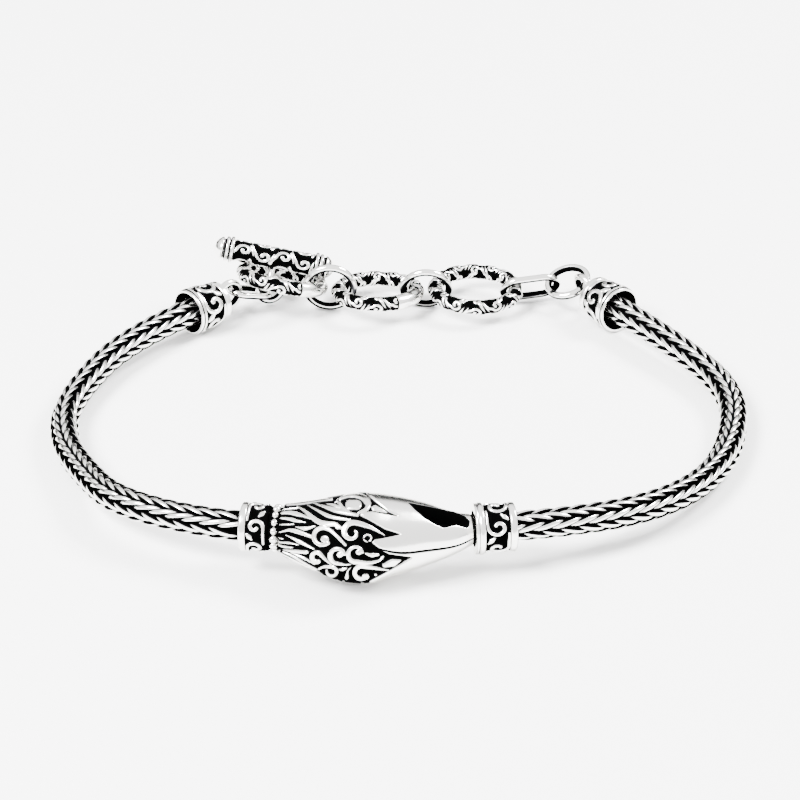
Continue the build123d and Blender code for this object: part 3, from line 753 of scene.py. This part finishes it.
def spun(profile, strokes, relief):
    """Sheet spun from a profile, with strokes carved on its carved stretches."""
    corners = np.array([(row["x"], row["r"]) for row in profile], float)
    runs = np.linalg.norm(np.diff(corners, axis=0), axis=1)
    stations = np.append(0, np.cumsum(runs))
    samples = np.linspace(0, stations[-1], int(stations[-1] / PROFILE_STEP))
    x, r = (np.interp(samples, stations, corners[:, axis]) for axis in (0, 1))
    soft = np.array((0.25, 0.5, 0.25))
    x[1:-1], r[1:-1] = np.convolve(x, soft, "valid"), np.convolve(r, soft, "valid")
    run = np.clip(np.searchsorted(stations, samples, "right") - 1, 0, len(runs) - 1)
    finish = np.array([row["finish"] for row in profile])[run]
    girth = 2 * math.pi * np.max(r)
    turns = full_turn(int(girth / ROUND_STEP))
    across, up = crossed(x, turns * np.max(r))
    inside = np.full(across.shape, -1.0)
    for line, widths in strokes:
        stroke(inside, across, up, line, widths)
    carved = (finish == "carved")[:, None]
    height = np.where(carved, relief * raised(inside), 0)
    shine = np.where(carved, buffed(inside), (finish == "bright")[:, None])
    radius = r[:, None] + height
    local = np.stack(np.broadcast_arrays(across, radius * np.cos(turns),
                                         radius * np.sin(turns)), -1)
    return local[:, ::-1], shine[:, ::-1], (False, True)


def placed(sheet, origin, axes):
    """A sheet turned to its axes and moved to its place."""
    grid, shine, rounds = sheet
    return origin + grid @ axes.T, shine, rounds


# %% Running scrolls
def running_scroll(start, length, girth, count, width):
    """Strokes of a scroll that runs round a sleeve and curls over and under in turn."""
    pitch = girth / count
    strokes = []
    for index in range(-1, count + 1):
        way = 1 if index % 2 else -1
        middle = np.array((start + length / 2, (index + 0.5) * pitch))
        reach = 0.42 * length
        tail = [middle + (way * 0.44 * length, -0.72 * pitch),
                middle + (way * 0.43 * length, -0.35 * pitch)]
        curl = {"tail": tail, "centre": middle, "radius": (reach, 0.28 * reach),
                "start": 0 if way > 0 else 180, "turn": way * 320,
                "width": (0.7 * width, width, width)}
        strokes.append((curl_line(curl), curl["width"]))
        leaf = [middle + (-way * 0.42 * length, -0.3 * pitch),
                middle + (-way * 0.15 * length, -0.55 * pitch)]
        strokes.append((line_through(leaf), (0.5 * width, 1.3 * width, 0.5 * width)))
    return strokes


# %% [markdown]
# ## Sleeves beside the head
# The left sleeve ends in one broad rim on the chain's side. The right one starts with a
# flange against the beak and ends in a rim, with a band of scrolls between. One
# function makes both, each from its own row of sizes.

# %% Bands
BAND_DIAMETER = 4.8
BAND_GROUND = 0.22
BAND_RIM = 0.7
BORE = 1.75
BORE_DEPTH = 1.2
TENON_BORE = 1.3
SLIDE_GAP = 0.1
FLANGE_LIP = 0.3
LIP_STEP = 0.05
LIP_ROUND = 0.08
LIP_GROOVE = 0.03
BAND_SCROLLS = 6
BAND_STROKE = 0.4
BANDS = {
    "band_left": {"length": 2.8, "flange": 0.22, "flange_diameter": 4.8,
                  "start": -COLLAR_LENGTH - SLIDE_GAP, "turn": 180},
    "band_right": {"length": 4.0, "flange": 0.9, "flange_diameter": 5.1,
                   "start": HEAD_LENGTH + SLIDE_GAP, "turn": 0},
}


def band(row):
    """Sleeve with its head side at x = 0."""
    outer, ground = BAND_DIAMETER / 2, BAND_DIAMETER / 2 - BAND_GROUND
    length, flange, wide = row["length"], row["flange"], row["flange_diameter"] / 2
    profile = [{"x": 0, "r": TENON_BORE, "finish": "dark"}]
    if flange > FLANGE_LIP:
        profile += [{"x": 0, "r": BORE, "finish": "bright"}]
        profile += rim(0, FLANGE_LIP, wide - LIP_STEP, LIP_ROUND)
        profile += rim(FLANGE_LIP + LIP_GROOVE, flange, wide)
    else:
        profile += [{"x": 0, "r": outer - BAND_GROUND, "finish": "dark"}]
    profile += [{"x": flange, "r": ground, "finish": "carved"},
                {"x": length - BAND_RIM, "r": ground, "finish": "dark"}]
    profile += rim(length - BAND_RIM, length, outer)
    profile += [{"x": length, "r": BORE, "finish": "dark"},
                {"x": length - BORE_DEPTH, "r": BORE, "finish": "dark"}]
    zone = length - BAND_RIM - flange
    strokes = running_scroll(flange, zone, 2 * math.pi * wide, BAND_SCROLLS, BAND_STROKE)
    return spun(profile, strokes, BAND_GROUND)


# %% Both sleeves in place
band_places = {}
for name, row in BANDS.items():
    heading = math.degrees((row["start"] - HEAD_LENGTH / 2) / HEAD_BEND_RADIUS)
    axes = turned(heading + row["turn"])
    band_places[name] = (end_of(name, -axes[:, 0]), axes)
    add_piece(name, CAST, [placed(band(row), *band_places[name])])

# %% [markdown]
# ## Caps at the back
# Each cap is a small bell that holds a chain end. It swells a little in the middle, has
# a double rim at its mouth and a single one at its closed end, and carries broad
# scrolls. The buff can't reach into its mouth, so the funnel inside stays black and
# makes the chain's end stand out. A round wire loop is soldered to the closed end, and
# how high it sits is measured on the solid.

# %% Loops of round wire
WIRE_ROWS = 96
WIRE_COLUMNS = 32


def wire_loop(size, wire):
    """Round loop lying flat, with painted shade on the inner side of its wire."""
    turn, roll = crossed(full_turn(WIRE_ROWS), full_turn(WIRE_COLUMNS))
    reach = (size - wire + wire * np.cos(roll)) / 2
    local = np.stack([reach * np.cos(turn), reach * np.sin(turn),
                      wire / 2 * np.sin(roll)], -1)
    # The inner side of the wire is darkened as painted shade.
    return local, eased(np.cos(roll), PAINTED_INNER_SHADE_DARK, PAINTED_INNER_SHADE_CLEAR), (True, True)


# %% Cap
CAP_LENGTH = 4.4
CAP_MOUTH = 2.55
CAP_END = 2.2
CAP_SWELL = 0.08
CAP_RIM = 0.7
CAP_RIM_ROUND = 0.06
CAP_GROOVE = 0.12
CAP_GROUND = 0.22
CAP_WALL = 0.3
CAP_FUNNEL = 0.7
CAP_FLOOR = 1.1
CAP_SCROLLS = 6
CAP_STROKE = 0.54
CAP_LOOP_SINK = 0.45
CAPS = {
    "cap_left": {"heading": 42, "loop": 3.5, "wire": 0.75, "loop_heading": 42,
                 "loop_twist": 90},
    "cap_right": {"heading": 126, "loop": 3.7, "wire": 0.75, "loop_heading": -54,
                  "loop_twist": 112},
}


def cap():
    """Bell with its mouth at x = 0."""
    middle = (CAP_MOUTH + CAP_END) / 2 - CAP_GROUND + CAP_SWELL
    half_rim, back = (CAP_RIM - CAP_GROOVE) / 2, CAP_LENGTH - CAP_RIM
    profile = [{"x": CAP_LENGTH - CAP_FLOOR, "r": BORE, "finish": "dark"},
               {"x": CAP_FUNNEL, "r": BORE, "finish": "dark"},
               {"x": 0, "r": CAP_MOUTH - CAP_WALL, "finish": "bright"}]
    profile += rim(0, half_rim, CAP_MOUTH - LIP_STEP, CAP_RIM_ROUND)
    profile += rim(half_rim + CAP_GROOVE, CAP_RIM, CAP_MOUTH, CAP_RIM_ROUND)
    profile += [{"x": CAP_RIM, "r": CAP_MOUTH - CAP_GROUND, "finish": "carved"},
                {"x": CAP_LENGTH / 2, "r": middle, "finish": "carved"},
                {"x": back, "r": CAP_END - CAP_GROUND, "finish": "dark"}]
    profile += rim(back, CAP_LENGTH, CAP_END)
    profile += [{"x": CAP_LENGTH, "r": CAP_END / 2, "finish": "bright"},
                {"x": CAP_LENGTH, "r": PINHOLE, "finish": "bright"}]
    girth = 2 * math.pi * CAP_MOUTH
    strokes = running_scroll(CAP_RIM, back - CAP_RIM, girth, CAP_SCROLLS, CAP_STROKE)
    return spun(profile, strokes, CAP_GROUND)


# %% Both caps in place
# From this far past a cap there is nothing but its loop.
PAST_CAP = 0.1


def loop_height(node, mouth, out, spot, reach):
    """Height of a cap's loop, from the solid's points at the loop's far end."""
    points = on_node(node)
    away = np.hypot(points[:, 0] - spot[0], points[:, 1] - spot[1])
    beyond = (points - mouth) @ out > CAP_LENGTH + PAST_CAP
    loop = points[beyond & (away < reach)]
    return (loop[:, 2].min() + loop[:, 2].max()) / 2


cap_places = {}
for name, row in CAPS.items():
    axes = turned(row["heading"])
    mouth = end_of(name, -axes[:, 0])
    cap_places[name] = (mouth, axes)
    loop = wire_loop(row["loop"], row["wire"])
    spot = mouth + axes[:, 0] * (CAP_LENGTH + row["loop"] / 2 - CAP_LOOP_SINK)
    spot[2] = loop_height(name, mouth, axes[:, 0], spot, row["loop"] / 2)
    loop_axes = turned(row["loop_heading"], row["loop_twist"])
    add_piece(name, CAST,
              [placed(cap(), mouth, axes), placed(loop, spot, loop_axes)])

# %% [markdown]
# ## Foxtail chain
# A foxtail chain is woven from small loops, each pulled through the one before it. On
# its outside the loops show as eight columns of slanting strands that lean one way and
# the other in turn, like ears of wheat. Each strand is a short, slightly flattened wire
# that dives into the chain at both ends, over a core that stays black. The chain
# follows the same few corners as its solid does.

# %% Route of the chain
LEFT_ROUTE = [(-27.9, -27.6, 3.5), (-31.5, -19.3, 2.1), (-34.2, -12.0, 1.5),
              (-34.4, -3.0, 1.6)]
RIGHT_ROUTE = [(24.0, -29.1, 3.4), (30.2, -21.6, 2.1), (33.8, -12.3, 1.5),
               (34.6, -0.8, 1.6)]
ROUTE_LEAD = 4.0
CAP_LEAD = 7.8
CHAIN_START = 1.65
CHAIN_END_GAP = 0.3


def route_corners(band_name, cap_name, route):
    """Corners of a chain half, from inside its sleeve to inside its cap."""
    head_side, axes = band_places[band_name]
    out = axes[:, 0]
    mouth, cap_axes = cap_places[cap_name]
    into = cap_axes[:, 0]
    start = head_side + out * CHAIN_START
    lead = head_side + out * (BANDS[band_name]["length"] + ROUTE_LEAD)
    end = mouth + into * (CAP_LENGTH - CAP_FLOOR - CHAIN_END_GAP)
    corners = [np.array(corner) + SHIFT for corner in route]
    return [start, lead] + corners + [mouth - into * CAP_LEAD, end]


# %% Smooth route
ROUTE_STEPS = 24


def smooth_route(corners):
    """Points of the smooth line that the corners steer, with their distances."""
    curve = bpy.data.curves.new("route", "CURVE")
    curve.dimensions = "3D"
    curve.resolution_u = ROUTE_STEPS
    spline = curve.splines.new("NURBS")
    spline.points.add(len(corners) - 1)
    for point, corner in zip(spline.points, corners):
        point.co = (*corner, 1)
    spline.order_u = 3
    spline.use_endpoint_u = True
    carrier = bpy.data.objects.new("route", curve)
    mesh = bpy.data.meshes.new_from_object(carrier)
    line = np.array([vertex.co for vertex in mesh.vertices])
    bpy.data.objects.remove(carrier)
    steps = np.linalg.norm(np.diff(line, axis=0), axis=1)
    return line, np.append(0, np.cumsum(steps))


def along_route(line, distances, where):
    """Points, sideways and upward directions at distances along a route."""
    ways = np.gradient(line, distances, axis=0)
    point, way = (np.stack([np.interp(where, distances, part[:, axis])
                            for axis in range(3)], -1) for part in (line, ways))
    way = unit(way)
    side = unit(np.cross((0, 0, 1), way))
    return point, side, np.cross(way, side)


# %% [markdown]
# ## Strands
# Loops could be linked one by one as a weaver does, but only their outer legs show.
# So each leg is a short flattened tube that rises out of the core and dives back in.
# Strands of two columns meet in a seam, and their number is fitted so that whole
# strands reach from the sleeve to the cap.

# %% Sizes of the weave
CHAIN_RADIUS = 1.5
CORE_RADIUS = 1.05
CORE_STATIONS = 120
CORE_ROUND = 24
COLUMNS = 8
PITCH = 1.8
STRAND_LENGTH = 3.7
STRAND_LEAN = 19
STRAND_WIDTH = 0.6
STRAND_TAPER = 0.5
STRAND_HEIGHT = 0.5
STRAND_DIVE = 0.42
STRAND_STATIONS = 9
STRAND_ROUND = 12
# A strand is black up to the first share of its height and bright from the second.
STRAND_BUFFED = (0.4, 0.85)
# Its ends, which dive into the chain, lose this share and stay black too.
STRAND_END_DARK = 0.8
# Share of its column's width that a strand crosses: the rest is a dark gap at each seam.
STRAND_SPAN = 0.8
# A chain twists a little as it lies: (share of its length from the sleeve, degrees that
# its seams are turned there).
LEFT_SEAM = [(0, 31), (0.42, 49), (0.6, 44), (1, 74)]
RIGHT_SEAM = [(0, -12), (0.2, -30), (0.4, -34), (0.6, -22), (1, -28)]


# %% Strands
def woven_strands(line, distances, seam):
    """Sheets of all strands on a chain with its seams turned, and their shine."""
    reach = STRAND_LENGTH / 2 * math.cos(math.radians(STRAND_LEAN))
    count = int((distances[-1] - 2 * reach) / PITCH - 0.5)
    pitch = (distances[-1] - 2 * reach) / (count + 0.5)
    columns = np.arange(COLUMNS)
    starts = reach + pitch * (np.arange(count + 1)[None, :] + columns[:, None] % 2 / 2)
    share = np.linspace(-1, 1, STRAND_STATIONS)
    lean = np.where(columns % 2, 1, -1)
    where = starts[:, :, None] + share * reach
    crossing = columns[:, None, None] + STRAND_SPAN / 2 * lean[:, None, None] * share
    twist = np.interp(where / distances[-1], *np.transpose(seam))
    turn = 2 * math.pi * crossing / COLUMNS + np.radians(twist)
    radius = CHAIN_RADIUS - STRAND_HEIGHT / 2 - STRAND_DIVE * np.abs(share) ** 2.5
    point, side, up = along_route(line, distances, where)
    radial = side * np.cos(turn)[..., None] + up * np.sin(turn)[..., None]
    centre = point + radial * radius[:, None]
    across = unit(np.cross(np.gradient(centre, axis=2), radial))
    taper = (1 - STRAND_TAPER * share ** 2)[:, None, None]
    roll = full_turn(STRAND_ROUND)[:, None]
    wide = across[..., None, :] * np.cos(roll) * STRAND_WIDTH / 2 * taper
    high = radial[..., None, :] * np.sin(roll) * STRAND_HEIGHT / 2 * taper
    grids = centre[..., None, :] + wide + high
    top = np.sin(roll)[:, 0] - STRAND_END_DARK * np.abs(share)[:, None] ** 4
    shine = eased(top, *STRAND_BUFFED)
    return grids.reshape(-1, STRAND_STATIONS, STRAND_ROUND, 3), shine


# %% Both halves of the chain
def chain(node, corners, seam):
    """One half of the chain: its core and all its strands."""
    line, distances = smooth_route(corners)
    grids, shine = woven_strands(line, distances, seam)
    stations = np.linspace(0, distances[-1], CORE_STATIONS)
    point, side, up = along_route(line, distances, stations)
    turn = full_turn(CORE_ROUND)[:, None]
    core = point[:, None] + CORE_RADIUS * (side[:, None] * np.cos(turn)
                                           - up[:, None] * np.sin(turn))
    sheets = [(core, 0, (False, True))]
    sheets += [(grid, shine, (False, True)) for grid in grids]
    print(node, "is", distances[-1].round(1), "mm long, with", len(grids), "strands")
    add_piece(node, WOVEN, sheets)


chain("chain_left", route_corners("band_left", "cap_left", LEFT_ROUTE), LEFT_SEAM)
chain("chain_right", route_corners("band_right", "cap_right", RIGHT_ROUTE), RIGHT_SEAM)

# %% [markdown]
# ## Ornate rings of the size adjuster
# The three big rings let the wearer choose a length by putting the bar through one or
# another. They are cast, with a running scroll all round but for a short plain stretch
# that the jump rings polish as they slide. The scrolls are drawn on the unrolled
# surface of the wire, past its edges too, so that they meet where it closes.

# %% Sizes of the ornate rings
RING_RELIEF = 0.13
RING_WIRE = 1.4
RINGS = {
    "toggle_ring_1": {"size": 9.9, "twist": -15, "slope": 11, "plain": (-62, -18)},
    "toggle_ring_2": {"size": 9.9, "twist": -7, "slope": 0, "plain": (-62, -18)},
    "toggle_ring_3": {"size": 10.2, "twist": 0, "slope": 1, "plain": (-15, 20)},
}
RING_PITCH = 2.0
RING_LEVELS = 3
RING_STROKE = 0.27
RING_CURL = (0.56, 0.15)
# Two leaves lie beside each curl, moved along the wire by these lengths.
RING_LEAVES = (0, 0.4)
PLAIN_LINE_AWAY = 0.12
PLAIN_LINE_HALF = 0.07


# %% One ornate ring
def ornate_ring(row):
    """Ring with rows of scrolls round its wire, set in turn like bricks."""
    bend = (row["size"] - RING_WIRE) / 2
    ground = RING_WIRE / 2
    length, girth = 2 * math.pi * bend, 2 * math.pi * ground
    turn, roll = crossed(full_turn(int(length / ROUND_STEP), -math.pi),
                         full_turn(int(girth / PROFILE_STEP), -math.pi))
    across, up = turn * bend, roll * ground
    inside = np.full(across.shape, -1.0)
    count = 2 * round(length / RING_PITCH / 2)
    pitch = length / count
    step = girth / RING_LEVELS
    for index in range(-1, count + 1):
        for level in range(-2, RING_LEVELS):
            way = 1 if index % 2 else -1
            middle = np.array((-length / 2 + (index + 0.5) * pitch,
                               (level + way / 4 + 0.5) * step))
            tail = [middle + (-0.9 * pitch, -way * 0.45 * step),
                    middle + (-0.42 * pitch, way * 0.12 * step)]
            curl = {"tail": tail, "centre": middle, "radius": RING_CURL,
                    "start": 150 * way, "turn": -way * 360}
            stroke(inside, across, up, curl_line(curl),
                   (0.8 * RING_STROKE, RING_STROKE, 1.2 * RING_STROKE))
            for gap in RING_LEAVES:
                leaf = [middle + (0.15 * pitch + gap, way * 0.72 * step),
                        middle + (0.42 * pitch + gap, way * 0.1 * step)]
                stroke(inside, across, up, line_through(leaf),
                       (RING_STROKE, 0.9 * RING_STROKE, 0.1))
    low, high = np.radians(row["plain"])
    plain = np.minimum(turn - low, high - turn) * bend
    inside = np.maximum(inside, plain)
    inside = np.where(np.abs(plain + PLAIN_LINE_AWAY) < PLAIN_LINE_HALF, -1, inside)
    reach = ground + RING_RELIEF * raised(inside)
    local = np.stack([(bend + reach * np.cos(roll)) * np.cos(turn),
                      (bend + reach * np.cos(roll)) * np.sin(turn),
                      reach * np.sin(roll)], -1)
    return local, buffed(inside), (True, True)


# %% Three ornate rings in place
for name, row in RINGS.items():
    axes = turned(twist=row["twist"], slope=row["slope"])
    add_piece(name, CAST,
              [placed(ornate_ring(row), centre_of(name), axes)])

# %% [markdown]
# ## Toggle bar
# The bar lies across the first ring. Each end is turned to two rings and a round tip,
# and scrolls wind round the barrel between them. It is spun from a profile like the
# sleeves, with the left end mirrored from the right one. The loop under its middle
# hangs it on the left end of the chain.

# %% Sizes of the bar
BAR_LENGTH = 13.2
BAR_DIAMETER = 2.4
BAR_END_DIAMETER = 2.9
BAR_TIP_LENGTH = 1.2
BAR_RING_WIDTH = 0.5
BAR_RINGS = 2
BAR_GROUND = 0.16
# The round tip: (share of its length, diameter, finish).
BAR_TIP = [(0.1, 2.1, "dark"), (0.22, 2.5, "bright"), (0.4, 2.4, "bright"),
           (0.65, 1.9, "bright"), (0.85, 1.3, "bright"), (0.97, 0.6, "bright"),
           (1.0, 2 * PINHOLE, "bright")]
# A ring of an end: (share of its width, depth below its top, finish).
BAR_RING = [(0, 2 * BAR_GROUND, "dark"), (0.22, 0, "bright"), (0.8, 0, "bright"),
            (1, 2 * BAR_GROUND, "dark")]
BAR_SCROLLS = 4
BAR_ROWS = 4
BAR_ROW_SHIFT = 0.85
BAR_CURL_WIDTHS = (0.3, 0.4, 0.42)
BAR_LEAF_WIDTHS = (0.15, 0.4, 0.3)
BAR_LOOP = {"size": 2.8, "wire": 0.65, "sink": 0.4}


# %% Profile of the bar
def bar_profile():
    """Profile of the bar from its left tip to its right one."""
    ground = BAR_DIAMETER / 2 - BAR_GROUND
    barrel = BAR_LENGTH / 2 - BAR_TIP_LENGTH - BAR_RINGS * BAR_RING_WIDTH
    right = []
    for index in range(BAR_RINGS):
        low = barrel + index * BAR_RING_WIDTH
        swell = BAR_END_DIAMETER / 2 - index * BAR_GROUND / 2
        for share, depth, finish in BAR_RING:
            right.append((low + share * BAR_RING_WIDTH, swell - depth, finish))
    for share, size, finish in BAR_TIP:
        right.append((BAR_LENGTH / 2 - (1 - share) * BAR_TIP_LENGTH, size / 2, finish))
    rows = [{"x": -x, "r": r, "finish": finish} for x, r, finish in reversed(right)]
    rows.append({"x": -barrel, "r": ground, "finish": "carved"})
    rows.append({"x": barrel, "r": ground, "finish": "dark"})
    rows += [{"x": x, "r": r, "finish": finish} for x, r, finish in right]
    return rows, barrel


# %% Scrolls of the bar
def bar_strokes(barrel):
    """Scrolls along the barrel in rows round it, with leaves between them."""
    girth = math.pi * BAR_END_DIAMETER
    pitch, step = 2 * barrel / BAR_SCROLLS, girth / BAR_ROWS
    strokes = []
    for index in range(BAR_SCROLLS):
        for level in range(-1, BAR_ROWS + 1):
            way = 1 if index % 2 else -1
            middle = np.array((-barrel + (index + 0.5) * pitch,
                               (level + BAR_ROW_SHIFT + way / 10) * step))
            curl = {"tail": [middle + (-0.7 * pitch, -way * 0.55 * step),
                             middle + (-0.42 * pitch, -way * 0.1 * step)],
                    "centre": middle, "radius": (0.36 * pitch, 0.1 * pitch),
                    "start": 170 * way, "turn": -way * 340}
            strokes.append((curl_line(curl), BAR_CURL_WIDTHS))
            leaf = [middle + (0.48 * pitch, -way * 0.25 * step),
                    middle + (0.36 * pitch, way * 0.42 * step)]
            strokes.append((line_through(leaf), BAR_LEAF_WIDTHS))
    return strokes


# %% Bar in place
def toggle_bar():
    """Bar across the first ring, with the loop under its middle."""
    ring = RINGS["toggle_ring_1"]
    axes = turned(twist=ring["twist"], slope=ring["slope"])
    profile, barrel = bar_profile()
    bar = spun(profile, bar_strokes(barrel), BAR_GROUND)
    middle = (end_of("toggle_bar", axes[:, 0]) + end_of("toggle_bar", -axes[:, 0])) / 2
    drop = BAR_DIAMETER / 2 + BAR_LOOP["size"] / 2 - BAR_LOOP["sink"]
    loop = wire_loop(BAR_LOOP["size"], BAR_LOOP["wire"])
    loop_axes = axes @ turned(slope=90)
    add_piece("toggle_bar", CAST,
              [placed(bar, middle, axes),
               placed(loop, middle - axes[:, 2] * drop, loop_axes)])


toggle_bar()

# %% [markdown]
# ## Floor
# The bracelet lies on matt white paper, which takes its soft shadow and lights the
# silver from below. The sheet is far wider than the picture, so no edge of it shows.

# %% Floor
FLOOR_SIZE = 3000
PAPER = "#fafafa"
PAPER_ROUGHNESS = 0.9


def floor():
    """Sheet of paper under the bracelet."""
    mesh = bpy.data.meshes.new("floor")
    half = FLOOR_SIZE / 2 * MM
    mesh.from_pydata([(-half, -half, 0), (half, -half, 0), (half, half, 0),
                      (-half, half, 0)], [], [(0, 1, 2, 3)])
    paper = new_material("white_paper")
    surface = paper.node_tree.nodes["Principled BSDF"]
    surface.inputs["Base Color"].default_value = linear(PAPER)
    surface.inputs["Roughness"].default_value = PAPER_ROUGHNESS
    mesh.materials.append(paper)
    add_object("floor", mesh)
    print("floor:", FLOOR_SIZE, "mm wide")


floor()

# %% [markdown]
# ## Light
# Polished silver shows only what it mirrors, so the studio is bright overhead and in
# front, and dark low behind the bracelet: that dark wall draws the black edges that
# make silver read as metal. A wall and a ceiling could be built of panels. A sky of
# a few greys does the same, and two soft boxes give the shadows a direction.

# %% Sky and soft boxes
SKY = [(0.0, "#1c1c1c"), (0.1, "#242424"), (0.26, "#f4f4f4"), (1.0, "#ffffff")]
SKY_DARKER_BACK = 0.35
SKY_STRENGTH = 2.6
SOFT_BOXES = [
    {"place": (-350, -250, 500), "size": 260, "power": 22},
    {"place": (380, 150, 420), "size": 200, "power": 10},
]


def sky():
    """Studio all round, dark low down and more so behind."""
    world = bpy.data.worlds.new("studio")
    world.use_nodes = True
    tree = world.node_tree
    place = add_node(tree, "ShaderNodeTexCoord")
    height = add_node(tree, "ShaderNodeVectorMath", {1: (0, -SKY_DARKER_BACK, 1)},
                      {0: place.outputs["Generated"]}, operation="DOT_PRODUCT")
    ramp = add_node(tree, "ShaderNodeValToRGB", links={"Fac": height.outputs["Value"]},
                    stops=SKY)
    background = tree.nodes["Background"]
    background.inputs["Strength"].default_value = SKY_STRENGTH
    tree.links.new(ramp.outputs["Color"], background.inputs["Color"])
    bpy.context.scene.world = world


def soft_box(row):
    """Square lamp that faces the middle of the scene."""
    light = bpy.data.lights.new("soft_box", "AREA")
    light.size = row["size"] * MM
    light.energy = row["power"]
    lamp = add_object("soft_box", light)
    place = Vector(row["place"]) * MM
    lamp.location = place
    lamp.rotation_euler = place.to_track_quat("Z", "Y").to_euler()


sky()
for row in SOFT_BOXES:
    soft_box(row)
print("sky, and soft boxes:", len(SOFT_BOXES))

# %% [markdown]
# ## Last update
# Once every piece is in place, the scene is brought up to date.

# %% Last update
bpy.context.view_layer.update()
